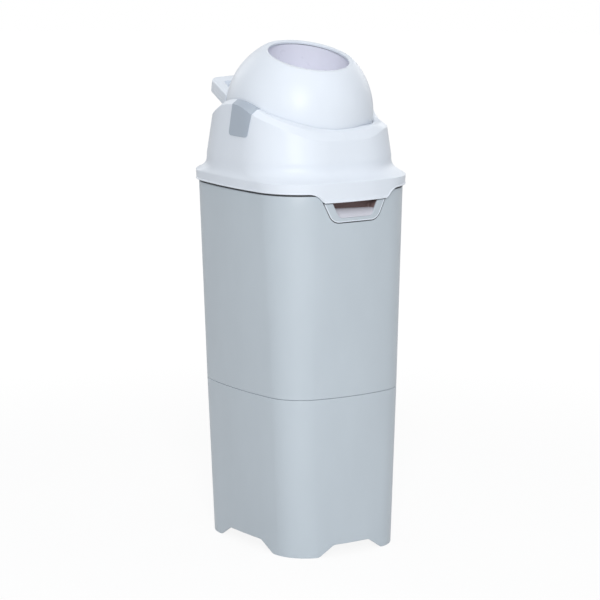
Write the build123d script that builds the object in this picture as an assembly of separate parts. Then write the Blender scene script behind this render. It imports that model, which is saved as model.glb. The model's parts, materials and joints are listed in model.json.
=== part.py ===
from build123d import *
import os

# Nappy bin: a tapered tub in two sections, a hinged head with a tent-shaped collar, and a ball-shaped
# drum that turns over in the head. A piston slides through the drum and pushes the nappy out below.
# Millimetres, +Z up. The front, with the finger scoop, faces -Y. The drum turns about X.
# The origin is on the floor, at the middle of the whole object's box.

# ---- driving dimensions: overall -------------------------------------------------------------------
AXIS_Y = -2.0            # the drum's axis lies this far in front of the origin
SEAM_Z = 230.5           # joint line between the two tub sections
BAND_BOTTOM = 523.0      # lower edge of the head's rim band
BAND_TOP = 537.5         # where the band turns into the flare
DRUM_Z = 624.0           # height of the drum's axis
DRUM_TILT = 16.0         # the opening leans this far to the front at rest, degrees

# ---- tub: half width, front and rear face (from the drum's axis), crown of the sides, corner radius --
BASE = dict(half_w=99.5, front=-138.0, rear=114.0, crown=2.8, corner=53.0)
SEAM = dict(half_w=111.7, front=-138.7, rear=122.3, crown=5.0, corner=55.5)
RIM = dict(half_w=122.6, front=-141.8, rear=135.8, crown=3.6, corner=71.5)
TUB_WALL = 3.0
RIM_Z = 532.5            # top edge of the tub, under the head
FLOOR_Z = 24.0           # underside of the tub's floor
FLOOR = 3.0
SEAM_BEVEL = 0.9         # the two sections meet in a fine groove
LAP = 9.0                # the upper section's spigot reaches this far into the lower one
SPIGOT_WALL = 2.0

# ---- foot cut-outs: half width at the top and at the floor, height ----------------------------------
FOOT_HEIGHT = 16.0
FRONT_CUT = (30.0, 55.0)
SIDE_CUT = (40.0, 67.5)
CUT_ROUND = 11.0

# ---- front notch, finger scoop and tab ---------------------------------------------------------------
NOTCH_BOTTOM = 479.4
NOTCH_HALF = 36.6        # half width at the bottom, before its corners are rounded
NOTCH_SLOPE = 0.51       # half width gained for each millimetre of height
NOTCH_ROUND = 14.0
TAB_BOTTOM = 510.8
TAB_ROUND = 15.0         # the tab runs into the band in this curve
SCOOP_GAP = 0.4
SCOOP_DEPTH = 19.0
SCOOP_LIP_Z = 487.0      # where the hollow starts at the front
SCOOP_SLOT_Z = 499.0     # lower edge of the finger slot, at the back of the hollow
SCOOP_FRAME = 11.0       # width of the frame beside the hollow
SCOOP_FLANGE = 4.5       # the scoop overlaps the tub's inner face by this much

# ---- head ------------------------------------------------------------------------------------------
BAND_OUT = 4.0           # the band stands proud of the tub by this much
HEAD_WALL = 2.7
TOP_WALL = 3.3
FLARE_HEIGHT = 24.5
FLARE_STEPS = 7
FLARE_POWER = 3.5        # the flare turns out sharply, just above the band
COLLAR_LOW = dict(half_w=122.0, front=-124.0, rear=125.0, crown=0.6, corner=96.5)
COLLAR_HIGH = dict(half_w=114.0, front=-113.0, rear=114.0, crown=0.6, corner=93.0)
COLLAR_TOP_Z = 650.0
LEFT_TOP = [(0.0, 645.5), (28.0, 641.4), (54.5, 630.6), (86.0, 618.0)]     # distance from the axle, height
RIGHT_TOP = [(0.0, 644.0), (15.0, 638.0), (26.0, 622.0), (37.0, 613.5), (53.0, 610.0), (83.0, 609.0)]
SHOULDER = (105.0, 607.3)                                # left and right run together from here on
LOW_END = [(120.0, 597.8), (150.0, 590.5)]
SHOULDER_SLOPE, LOW_SLOPE = -0.62, -0.2
BEVEL_IN, BEVEL_DOWN = 8.5, 6.3                          # the collar's top slopes off to its outer edge
INNER_BEVEL = 0.76       # share of that bevel inside the wall
DRUM_GAP = 1.3           # air between the collar's edge and the drum
SHELF_Z = 586.0          # underside of the ring shelf that carries the drum seal
SHELF = 2.6
SEAL_HEIGHT = 4.0
LEDGE = 2.2              # rim inside the band that rests on the gasket
GASKET = 2.5
PLATE = 0.7              # thickness of the plate on the left peak

# ---- drum ------------------------------------------------------------------------------------------
DRUM_R = 106.1
DRUM_WALL = 2.6
DRUM_END = 103.9         # the ball is flat at its ends, where the axles are
MOUTH_H = 83.2           # flat around each opening, above the drum's middle
MOUTH_ROUND = 7.0        # the ball rolls over into that flat
MOUTH_R = 58.4           # radius of the opening
LIP_ROUND = 1.5
SEAT_DEPTH = 12.0        # the ball holds the cylinder's end over this length
SEAT_WALL = 2.4
BORE_R = 60.6            # inside radius of the cylinder
TUBE_WALL = 2.0
TUBE_HALF = 79.5         # half length of the cylinder

# ---- handle: outline in its own plane, measured from the drum's axis --------------------------------
HANDLE_TILT = 11.5       # the handle's parting plane rises this much to the rear, degrees
HANDLE_ABOVE = 12.0      # thickness of the upper moulding
HANDLE_BELOW = 7.0
HANDLE_ROOT = (91.5, 55.0)
HANDLE_TIP = (65.0, 141.5)
HANDLE_REACH = 146.0
HANDLE_CORNER = 22.0
HANDLE_EDGE = 2.5
SLOT_ROOT = (67.0, 85.0)
SLOT_TIP = (54.5, 119.0)

# ---- axles and bearings ------------------------------------------------------------------------------
JOURNAL_R = 8.0
FLANGE_R = 15.0
AXLE_END = 112.6
RUNNING_GAP = 0.06
BUSH_R = 11.5
BUSH_IN, BUSH_OUT = 104.8, 113.4
BOSS_IN = 107.2          # inner face of the bearing bosses
BOSS_HALF = 17.0
BOSS_HEIGHT = 14.0
CAP_DROP = 14.0
CAP_SCREW_Y = 14.2

# ---- piston ------------------------------------------------------------------------------------------
PISTON_HEIGHT = 24.0
PISTON_GAP = 0.6
PISTON_WALL = 2.2
SEAL_BAND = 4.0
END_GAP = 0.1

# ---- hinge -------------------------------------------------------------------------------------------
HINGE_Y = AXIS_Y + 143.8
HINGE_Z = 511.5
HINGE_X = 50.0
KNUCKLE_R = 5.2
KNUCKLE_HALF = 8.0
EAR = 2.4
PIN_R = 2.0
BRACKET_HALF = 18.0
BRACKET_SCREW_X = 14.4
BRACKET_SCREW_Z = 502.0

BOTTOM = (Align.CENTER, Align.CENTER, Align.MIN)
TOP = (Align.CENTER, Align.CENTER, Align.MAX)
DRUM_CENTRE = Pos(0, AXIS_Y, DRUM_Z)
SIDE_VIEW = Plane((0, AXIS_Y, 0), x_dir=(0, 1, 0), z_dir=(1, 0, 0))


# ---- outlines and lofts --------------------------------------------------------------------------------
def outline(z, half_w, front, rear, crown, corner, grow=0.0):
    """Rounded rectangle with bowed sides, seen from above, at height z.

    Each corner arc is centred crown + corner inside both faces, and the bowed sides run on from it.
    """
    middle, half_d, radius = (front + rear) / 2, (rear - front) / 2, corner + grow
    centre_x, centre_y = half_w - corner - crown, half_d - corner - crown
    ends = []
    for across, reach in ((centre_y, half_w + grow), (centre_x, half_d + grow)):
        bow = (across ** 2 + 2 * radius * crown + crown ** 2) / (2 * crown)
        share = bow / (bow - radius)
        ends.append((reach - bow + share * (bow - radius - crown), share * across))
    (side_x, side_y), (face_y, face_x) = ends
    bend = radius * 0.5 ** 0.5
    lines = []
    for s in (-1, 1):
        lines.append(ThreePointArc((s * side_x, -side_y), (s * (half_w + grow), 0), (s * side_x, side_y)))
        lines.append(ThreePointArc((-face_x, s * face_y), (0, s * (half_d + grow)), (face_x, s * face_y)))
        for t in (-1, 1):
            corner_mid = (s * (centre_x + bend), t * (centre_y + bend))
            lines.append(ThreePointArc((s * side_x, t * side_y), corner_mid, (s * face_x, t * face_y)))
    return Pos(0, AXIS_Y + middle, z) * make_face(lines)


def between(low, high, t):
    """Outline sizes a fraction t of the way from one outline to another."""
    return {key: low[key] + (high[key] - low[key]) * t for key in low}


def tub_outline(z, grow=0.0):
    """The tub's outer outline at any height."""
    if z < SEAM_Z:
        return outline(z, **between(BASE, SEAM, z / SEAM_Z), grow=grow)
    return outline(z, **between(SEAM, RIM, (z - SEAM_Z) / (RIM_Z - SEAM_Z)), grow=grow)


def tub_block(z_low, z_high, grow=0.0):
    """Solid tub between two heights on one side of the joint line."""
    return loft([tub_outline(z_low, grow), tub_outline(z_high, grow)], ruled=True)


def along_x(radius, x_low, x_high, y=AXIS_Y, z=DRUM_Z):
    """Round bar along X, between two positions."""
    bar = Cylinder(radius, x_high - x_low)
    return Pos((x_low + x_high) / 2, y, z) * Rot(0, 90, 0) * bar


# ---- tub -----------------------------------------------------------------------------------------------
def foot_cut(top_half, foot_half):
    """Opening under one face: a low trapezium whose corners run in smooth curves."""
    skirt = foot_half + 14
    points = [(-skirt, -6), (-skirt, 0), (-foot_half, 0), (-top_half, FOOT_HEIGHT),
              (top_half, FOOT_HEIGHT), (foot_half, 0), (skirt, 0), (skirt, -6)]
    face = make_face(Polyline(points, close=True))
    bends = [v for v in face.vertices() if -1 < v.Y and abs(v.X) < skirt - 1]
    return fillet(bends, CUT_ROUND)


def tub_lower():
    """Lower tub section, with a floor, a skirt below it and four corner feet."""
    shell = loft([tub_outline(0), tub_outline(SEAM_Z - SEAM_BEVEL)], ruled=True)
    shell += loft([tub_outline(SEAM_Z - SEAM_BEVEL), tub_outline(SEAM_Z, -SEAM_BEVEL)], ruled=True)
    shell -= loft([tub_outline(FLOOR_Z + FLOOR, -TUB_WALL), tub_outline(SEAM_Z - 1, -TUB_WALL)], ruled=True)
    shell -= extrude(tub_outline(SEAM_Z - 1, -TUB_WALL), amount=2)
    shell -= loft([tub_outline(0, -TUB_WALL), tub_outline(FLOOR_Z, -TUB_WALL)], ruled=True)
    front_cut = extrude(Plane.XZ * foot_cut(*FRONT_CUT), amount=200, both=True)
    middle = AXIS_Y + (BASE["front"] + BASE["rear"]) / 2
    side_plane = Plane((0, middle, 0), x_dir=(0, 1, 0), z_dir=(1, 0, 0))
    side_cut = extrude(side_plane * foot_cut(*SIDE_CUT), amount=200, both=True)
    return shell - front_cut - side_cut


def notch_half(z):
    """Half width of the notch at a height."""
    return NOTCH_HALF + (z - NOTCH_BOTTOM) * NOTCH_SLOPE


def notch_face(grow=0.0, bottom=NOTCH_BOTTOM, round_r=NOTCH_ROUND):
    """Outline of the front notch, drawn in the XZ plane, open above the rim."""
    low, top = bottom - max(grow, 0) + max(-grow, 0), RIM_Z + 6
    half_low = notch_half(low) + grow * 1.12
    half_top = notch_half(top) + grow * 1.12
    points = [(-half_low, low), (half_low, low), (half_top, top), (-half_top, top)]
    face = make_face(Polyline(points, close=True))
    return fillet(face.vertices().group_by(Axis.Y)[0], round_r + grow)


def front_cutter(face, depth):
    """A profile drawn in the XZ plane, carried back from in front of the tub."""
    plane = Plane((0, AXIS_Y + RIM["front"] - 20, 0), x_dir=(1, 0, 0), z_dir=(0, -1, 0))
    return extrude(plane * face, amount=-(depth + 20))


def bracket_screw(x, radius, y_low, y_high):
    """Round bar along Y at the height of the bracket screws."""
    return Pos(x, (y_low + y_high) / 2, BRACKET_SCREW_Z) * Rot(90, 0, 0) * Cylinder(radius, y_high - y_low)


def bracket_screw_positions():
    """The four screws, two for each bracket."""
    return [side * HINGE_X + offset_x for side in (-1, 1) for offset_x in (-BRACKET_SCREW_X, BRACKET_SCREW_X)]


def tub_upper():
    """Upper tub section: a tapered wall, open at both ends, notched at the front of its rim."""
    shell = loft([tub_outline(SEAM_Z + SEAM_BEVEL), tub_outline(RIM_Z)], ruled=True)
    shell += loft([tub_outline(SEAM_Z, -SEAM_BEVEL), tub_outline(SEAM_Z + SEAM_BEVEL)], ruled=True)
    spigot = -TUB_WALL - 0.3
    shell += loft([tub_outline(SEAM_Z - LAP, spigot), tub_outline(SEAM_Z, spigot)], ruled=True)
    bore = spigot - SPIGOT_WALL
    shell -= loft([tub_outline(SEAM_Z - LAP, bore), tub_outline(SEAM_Z + 4, bore)], ruled=True)
    shell -= loft([tub_outline(SEAM_Z + 4, bore), tub_outline(SEAM_Z + 8, -TUB_WALL)], ruled=True)
    shell -= loft([tub_outline(SEAM_Z + 8, -TUB_WALL), tub_outline(RIM_Z, -TUB_WALL)], ruled=True)
    shell -= front_cutter(notch_face(), 40)
    for x in bracket_screw_positions():
        shell -= bracket_screw(x, 1.6, 110, 150)
    return shell


def finger_scoop():
    """Insert in the notch: a flush frame round a hollow that slopes in under the head's tab."""
    front = AXIS_Y + RIM["front"]
    below_tab = Pos(0, 0, 400) * Box(200, 400, TAB_BOTTOM - 0.4 - 400, align=BOTTOM)
    block = front_cutter(notch_face(-SCOOP_GAP), SCOOP_DEPTH) & tub_block(SEAM_Z, RIM_Z)
    flange = front_cutter(notch_face(SCOOP_FLANGE), 30) & tub_block(SEAM_Z, RIM_Z, -TUB_WALL - 0.05)
    flange -= tub_block(SEAM_Z, RIM_Z, -TUB_WALL - 2)
    slope = ThreePointArc((front + 0.8, SCOOP_LIP_Z), (front + 4.5, SCOOP_LIP_Z + 7), (front + 13, SCOOP_SLOT_Z))
    rest = Polyline((front + 13, SCOOP_SLOT_Z), (front + 40, SCOOP_SLOT_Z), (front + 40, RIM_Z),
                    (front - 30, RIM_Z), (front - 30, SCOOP_LIP_Z), (front + 0.8, SCOOP_LIP_Z))
    above_slope = extrude(Plane.YZ * make_face([slope, rest]), amount=100, both=True)
    inner = front_cutter(notch_face(-SCOOP_FRAME, SCOOP_LIP_Z - SCOOP_FRAME, SCOOP_FRAME + 8), 60)
    under_points = [(front + 4.5, 470), (front + 30, 470), (front + 30, SCOOP_SLOT_Z - 2.2),
                    (front + 14, SCOOP_SLOT_Z - 2.2), (front + 6.5, SCOOP_LIP_Z + 5), (front + 4.5, SCOOP_LIP_Z)]
    under = extrude(Plane.YZ * make_face(Polyline(under_points, close=True)), amount=29, both=True)
    return ((block + flange) & below_tab) - (inner & above_slope) - under


def hinge_bracket(x):
    """Screwed to the back of the tub: a pad and two ears that hold the hinge pin."""
    pad = Pos(x, AXIS_Y + 130, 496) * Box(2 * BRACKET_HALF, 13.2, 12, align=BOTTOM)
    ear_x = KNUCKLE_HALF + 0.4 + EAR / 2
    web_y = HINGE_Y - (AXIS_Y + 127)
    for side in (-1, 1):
        ear = along_x(KNUCKLE_R, x + side * ear_x - EAR / 2, x + side * ear_x + EAR / 2, HINGE_Y, HINGE_Z)
        web = Box(EAR, web_y, 2 * KNUCKLE_R)
        pad += ear + Pos(x + side * ear_x, HINGE_Y - web_y / 2, HINGE_Z) * web
    pad -= tub_block(SEAM_Z, RIM_Z, 0.02)
    pad -= along_x(PIN_R, x - 20, x + 20, HINGE_Y, HINGE_Z)
    for offset_x in (-BRACKET_SCREW_X, BRACKET_SCREW_X):
        pad -= bracket_screw(x + offset_x, 1.6, 110, 150)
    return pad


def bracket_screws():
    """Four screws that hold the hinge brackets to the tub."""
    face_y = AXIS_Y + 136.6
    screws = []
    for x in bracket_screw_positions():
        screws.append(bracket_screw(x, 1.6, face_y - 12, face_y) + bracket_screw(x, 3.0, face_y, face_y + 1.5))
    return Compound(screws)


def hinge_pin(x):
    """Pin through the ears of one bracket and the head's knuckle between them."""
    half = KNUCKLE_HALF + 0.4 + EAR
    return along_x(PIN_R, x - half, x + half, HINGE_Y, HINGE_Z)


# ---- head ----------------------------------------------------------------------------------------------
def tent_face(top, drop):
    """Everything under the collar's top on one side: a ridge over the axle, low at front and rear."""
    half = top + [SHOULDER]
    ridge = [(-y, z) for y, z in reversed(half)] + half[1:]
    lines = [Spline(ridge, tangents=[(1, -SHOULDER_SLOPE), (1, SHOULDER_SLOPE)])]
    end_y, end_z = LOW_END[-1]
    for side in (-1, 1):
        low = [(side * y, z) for y, z in [SHOULDER] + LOW_END]
        lines.append(Spline(low, tangents=[(side, SHOULDER_SLOPE), (side, LOW_SLOPE)]))
        lines.append(Line((side * end_y, end_z), (side * end_y, BAND_BOTTOM - 30)))
    lines.append(Line((-end_y, BAND_BOTTOM - 30), (end_y, BAND_BOTTOM - 30)))
    return Pos(0, -drop) * make_face(lines)


def tent(drop=0.0):
    """The space under the collar's top, carried out to the left and the right."""
    left = extrude(SIDE_VIEW * tent_face(LEFT_TOP, drop), amount=-200)
    return left + extrude(SIDE_VIEW * tent_face(RIGHT_TOP, drop), amount=200)


def band_sizes():
    """Sizes of the rim band's outline, which follows the tub's rim."""
    return dict(RIM, half_w=RIM["half_w"] + BAND_OUT, front=RIM["front"] - BAND_OUT,
                rear=RIM["rear"] + BAND_OUT, corner=RIM["corner"] + BAND_OUT)


def flare_outline(t, grow):
    """Outline of the hollow flare, from the band (t = 0) up to the collar (t = 1)."""
    sizes = between(COLLAR_LOW, band_sizes(), (1 - t) ** FLARE_POWER)
    return outline(BAND_TOP + FLARE_HEIGHT * t, **sizes, grow=grow)


def head_block(grow=0.0, drop=0.0, bottom=BAND_BOTTOM, bevel=1.0):
    """Solid head: band, concave flare and collar, cut off by the tent-shaped top and bevelled."""
    band = extrude(outline(bottom, **band_sizes(), grow=grow), amount=BAND_TOP - bottom)
    flare = loft([flare_outline(step / FLARE_STEPS, grow) for step in range(FLARE_STEPS + 1)])
    collar = loft([outline(BAND_TOP + FLARE_HEIGHT, **COLLAR_LOW, grow=grow),
                   outline(COLLAR_TOP_Z, **COLLAR_HIGH, grow=grow)], ruled=True)
    block = (band + flare + collar) & tent(drop)
    top = block.faces().filter_by(lambda face: face.center().X < -20).sort_by(Axis.Z)[-1]
    edge = top.edges().sort_by(Axis.X)[0]
    return chamfer(edge, BEVEL_IN * bevel, BEVEL_DOWN * bevel, reference=top)


def front_tab():
    """Tab that hangs from the front of the band and closes the top of the notch."""
    wide = notch_half(BAND_BOTTOM) + 20
    points = [(-wide, BAND_TOP - 4), (-wide, BAND_BOTTOM), (-notch_half(BAND_BOTTOM), BAND_BOTTOM),
              (-notch_half(TAB_BOTTOM), TAB_BOTTOM), (notch_half(TAB_BOTTOM), TAB_BOTTOM),
              (notch_half(BAND_BOTTOM), BAND_BOTTOM), (wide, BAND_BOTTOM), (wide, BAND_TOP - 4)]
    face = make_face(Polyline(points, close=True))
    bends = [v for v in face.vertices() if abs(v.Y - BAND_BOTTOM) < 0.1 and abs(v.X) < wide - 1]
    face = fillet(bends, TAB_ROUND)
    wall = extrude(outline(TAB_BOTTOM - 1, **band_sizes()), amount=BAND_TOP - TAB_BOTTOM)
    wall -= extrude(outline(TAB_BOTTOM - 2, **band_sizes(), grow=-HEAD_WALL), amount=BAND_TOP - TAB_BOTTOM + 4)
    return wall & front_cutter(face, 60)


def head_knuckle(x):
    """Hinge knuckle that hangs from the rear of the band."""
    barrel = along_x(KNUCKLE_R, x - KNUCKLE_HALF, x + KNUCKLE_HALF, HINGE_Y, HINGE_Z)
    low_y, high_y = AXIS_Y + 133.4, HINGE_Y
    web = Box(2 * KNUCKLE_HALF, high_y - low_y, BAND_BOTTOM + 4 - HINGE_Z, align=BOTTOM)
    return barrel + Pos(x, (low_y + high_y) / 2, HINGE_Z) * web


def cap_screw_bar(side, y, radius, z_low, z_high):
    """Upright bar where a bearing cap is screwed to its boss."""
    x = side * (BOSS_IN + 3.3)
    return Pos(x, AXIS_Y + y, z_low) * Cylinder(radius, z_high - z_low, align=BOTTOM)


def head_shell():
    """Band, flare and collar in one moulding, with ledge, shelf, bearing bosses and hinge knuckles."""
    shell = head_block() - head_block(-HEAD_WALL, TOP_WALL, BAND_BOTTOM - 5, INNER_BEVEL)
    inside = head_block(-HEAD_WALL / 2, TOP_WALL / 2)
    ledge_z = RIM_Z + GASKET
    ledge = extrude(outline(ledge_z, **band_sizes(), grow=-1.0), amount=LEDGE)
    ledge -= extrude(outline(ledge_z - 1, **band_sizes(), grow=-10.0), amount=LEDGE + 2)
    shelf = Pos(0, AXIS_Y, SHELF_Z) * Cylinder(140, SHELF, align=BOTTOM)
    shelf -= Pos(0, AXIS_Y, SHELF_Z - 1) * Box(300, 2 * BOSS_HALF + 8, SHELF + 2, align=BOTTOM)
    boss = Box(20, 2 * BOSS_HALF, BOSS_HEIGHT, align=BOTTOM)
    for side in (-1, 1):
        shelf += DRUM_CENTRE * Pos(side * (BOSS_IN + 10), 0, 0) * boss
    shell += (ledge + shelf) & inside
    shell -= DRUM_CENTRE * Sphere(DRUM_R + DRUM_GAP)
    shell -= along_x(BUSH_R, -BUSH_OUT, BUSH_OUT)
    for side in (-1, 1):
        for y in (-CAP_SCREW_Y, CAP_SCREW_Y):
            shell -= cap_screw_bar(side, y, 1.5, DRUM_Z - 5, DRUM_Z + 7)
        shell += head_knuckle(side * HINGE_X)
    shell += front_tab()
    return shell - along_x(PIN_R + RUNNING_GAP, -HINGE_X - 20, HINGE_X + 20, HINGE_Y, HINGE_Z)


def bearing_cap(side):
    """Lower half of one bearing, screwed up against the boss."""
    block = Box(20, 2 * BOSS_HALF, CAP_DROP, align=TOP)
    block = DRUM_CENTRE * Pos(side * (BOSS_IN + 10), 0, 0) * block
    cap = block & head_block(-HEAD_WALL - 0.1, TOP_WALL + 0.1)
    cap -= DRUM_CENTRE * Sphere(DRUM_R + DRUM_GAP)
    cap -= along_x(BUSH_R, -BUSH_OUT, BUSH_OUT)
    for y in (-CAP_SCREW_Y, CAP_SCREW_Y):
        cap -= cap_screw_bar(side, y, 1.5, DRUM_Z - 20, DRUM_Z + 1)
    return cap


def cap_screws():
    """Four screws that hold the bearing caps."""
    screws = []
    for side in (-1, 1):
        for y in (-CAP_SCREW_Y, CAP_SCREW_Y):
            shank = cap_screw_bar(side, y, 1.5, DRUM_Z - CAP_DROP, DRUM_Z + 7)
            screws.append(shank + cap_screw_bar(side, y, 2.6, DRUM_Z - CAP_DROP - 1.8, DRUM_Z - CAP_DROP))
    return Compound(screws)


def axle_bush(side):
    """Plain bush between the boss and its cap, closed off by the wall behind it."""
    low, high = sorted((side * BUSH_IN, side * BUSH_OUT))
    return along_x(BUSH_R, low, high) - along_x(JOURNAL_R + RUNNING_GAP, low - 1, high + 1)


def side_plate():
    """Plate on the left peak, which folds over the ridge edge down to the drum."""
    skin = head_block(PLATE, -PLATE) - head_block()
    points = [(-45.0, 700.0), (-45.0, 630.0), (-40.5, 596.0), (2.5, 596.0), (-1.5, 641.0), (-1.5, 700.0)]
    face = make_face(Polyline(points, close=True))
    face = fillet(face.vertices().group_by(Axis.Y)[0], 5.0)
    region = extrude(SIDE_VIEW * face, amount=-200)
    return (skin & region) - DRUM_CENTRE * Sphere(DRUM_R + DRUM_GAP)


def head_gasket():
    """Flat ring between the tub's rim and the ledge inside the band."""
    ring = extrude(outline(RIM_Z, **band_sizes(), grow=-3.4), amount=GASKET)
    return ring - extrude(outline(RIM_Z - 1, **band_sizes(), grow=-8.6), amount=GASKET + 2)


def drum_seal():
    """Ring under the shelf that closes the gap round the drum."""
    ring = Pos(0, AXIS_Y, SHELF_Z - SEAL_HEIGHT) * Cylinder(108.5, SEAL_HEIGHT, align=BOTTOM)
    return ring - DRUM_CENTRE * Sphere(DRUM_R + 0.35)


# ---- drum: modelled upright about its own centre, then leaned to the front ----------------------------
def leaned(shape, turned=False):
    """Put a piece of the drum in place; turned gives the opposite end."""
    over = Rot(180, 0, 0) if turned else Rot(0, 0, 0)
    return DRUM_CENTRE * Rot(DRUM_TILT, 0, 0) * over * shape


def drum_half():
    """Half of the ball: shell, flat at the axle ends, that rolls over into a lip round the opening.

    The lip overhangs the cylinder's bore, holds the cylinder's end and stops the piston.
    """
    rim_r = (DRUM_R ** 2 - MOUTH_H ** 2) ** 0.5
    inner_r = DRUM_R - DRUM_WALL
    tube_r = BORE_R + TUBE_WALL
    neck_r = tube_r + SEAT_WALL
    neck_h = (inner_r ** 2 - neck_r ** 2) ** 0.5
    outer = ThreePointArc((DRUM_R, 0), (DRUM_R * 0.8, DRUM_R * 0.6), (rim_r, MOUTH_H))
    seat = Polyline((rim_r, MOUTH_H), (MOUTH_R, MOUTH_H), (MOUTH_R, TUBE_HALF), (tube_r, TUBE_HALF),
                    (tube_r, TUBE_HALF - SEAT_DEPTH), (neck_r, TUBE_HALF - SEAT_DEPTH), (neck_r, neck_h))
    inner = ThreePointArc((neck_r, neck_h), (inner_r * 0.8, inner_r * 0.6), (inner_r, 0))
    face = make_face([outer, seat, inner, Line((inner_r, 0), (DRUM_R, 0))])
    for corner_r, radius in ((rim_r, MOUTH_ROUND), (MOUTH_R, LIP_ROUND)):
        corner = [v for v in face.vertices() if abs(v.X - corner_r) < 0.1 and abs(v.Y - MOUTH_H) < 0.1]
        face = fillet(corner, radius)
    half = revolve(Plane.XZ * face, Axis.Z)
    above = Box(400, 400, 200, align=BOTTOM)
    for side in (-1, 1):
        pad = Pos(side * (DRUM_END - DRUM_WALL), 0, 0) * Rot(0, side * 90, 0) * Cylinder(27, 10, align=BOTTOM)
        half += pad & above & Sphere(DRUM_R)
    half &= Box(2 * DRUM_END, 400, 400)
    return half - Rot(0, 90, 0) * Cylinder(JOURNAL_R, 300)


def drum_cylinder():
    """Tube through the ball, which the piston slides along."""
    return Cylinder(BORE_R + TUBE_WALL, 2 * TUBE_HALF) - Cylinder(BORE_R, 2 * TUBE_HALF + 2)


def axle_stub(side):
    """Journal with a flange that is held inside the ball's end, between the two halves."""
    inner = DRUM_END - DRUM_WALL
    flange = along_x(FLANGE_R, *sorted((side * (inner - 2.5), side * inner)))
    journal = along_x(JOURNAL_R, *sorted((side * inner, side * AXLE_END)))
    return flange + journal


def handle_layer(low, high, slot=True):
    """One moulding of the handle: a rounded plate outside the ball, with a slot for the fingers."""
    (root_x, root_y), (tip_x, tip_y) = HANDLE_ROOT, HANDLE_TIP
    edge = ThreePointArc((tip_x, tip_y), (0, HANDLE_REACH), (-tip_x, tip_y))
    sides = Polyline((-tip_x, tip_y), (-root_x, root_y), (root_x, root_y), (tip_x, tip_y))
    face = make_face([edge, sides])
    face = fillet([v for v in face.vertices() if abs(v.Y - tip_y) < 0.1], HANDLE_CORNER)
    (in_x, in_y), (out_x, out_y) = SLOT_ROOT, SLOT_TIP
    hole = make_face(Polyline((-in_x, in_y), (in_x, in_y), (out_x, out_y), (-out_x, out_y), close=True))
    hole = fillet([v for v in hole.vertices() if abs(v.Y - out_y) < 0.1], 7.0)
    plate = extrude(Pos(0, 0, low) * face, amount=high - low)
    outer_z = high if high > 0 else low
    rim = [e for e in plate.edges() if abs(e.center().Z - outer_z) < 0.1 and e.center().Y > root_y + 1]
    plate = fillet(rim, HANDLE_EDGE)
    plate -= extrude(Pos(0, 0, low - 1) * hole, amount=high - low + 2)
    return DRUM_CENTRE * Rot(HANDLE_TILT, 0, 0) * (plate - Sphere(DRUM_R))


def handle_screw_spots():
    """Four screws, two in each arm, in the handle's own plane."""
    return [(-56.0, 130.0), (56.0, 130.0), (-73.5, 91.0), (73.5, 91.0)]


def drilled(layer, depth_low, depth_high):
    """Screw holes through one moulding of the handle."""
    for x, y in handle_screw_spots():
        hole = Pos(x, y, depth_low) * Cylinder(1.5, depth_high - depth_low, align=BOTTOM)
        layer -= DRUM_CENTRE * Rot(HANDLE_TILT, 0, 0) * hole
    return layer


def handle_screws():
    """Screws that come up from below and hold the two mouldings together."""
    screws = []
    for x, y in handle_screw_spots():
        shank = Pos(x, y, -HANDLE_BELOW) * Cylinder(1.5, HANDLE_BELOW + 7, align=BOTTOM)
        head = Pos(x, y, -HANDLE_BELOW - 1.4) * Cylinder(2.8, 1.4, align=BOTTOM)
        screws.append(DRUM_CENTRE * Rot(HANDLE_TILT, 0, 0) * (shank + head))
    return Compound(screws)


# ---- piston: rests on the lip at the lower end of the cylinder ---------------------------------------
def on_lower_lip(shape):
    """Put a piece of the piston, modelled from its own foot up, on the lower lip."""
    return DRUM_CENTRE * Rot(DRUM_TILT, 0, 0) * Pos(0, 0, END_GAP - TUBE_HALF) * shape


def piston_disc():
    """Round wall with a rim above and below it, grooved for two wiper rings."""
    radius = BORE_R - PISTON_GAP
    body = Cylinder(radius, PISTON_HEIGHT, align=BOTTOM)
    cup = Cylinder(radius - PISTON_WALL - 2, (PISTON_HEIGHT - PISTON_WALL) / 2, align=BOTTOM)
    body -= cup
    body -= Pos(0, 0, (PISTON_HEIGHT + PISTON_WALL) / 2) * cup
    for z in (4.0, PISTON_HEIGHT - 4.0 - SEAL_BAND):
        groove = Cylinder(radius + 5, SEAL_BAND, align=BOTTOM) - Cylinder(radius - 1.6, SEAL_BAND, align=BOTTOM)
        body -= Pos(0, 0, z) * groove
    return body


def piston_wiper(z):
    """Ring that runs along the bore."""
    ring = Cylinder(BORE_R - RUNNING_GAP, SEAL_BAND, align=BOTTOM)
    ring -= Cylinder(BORE_R - PISTON_GAP - 1.6, SEAL_BAND, align=BOTTOM)
    return Pos(0, 0, z) * ring


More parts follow.
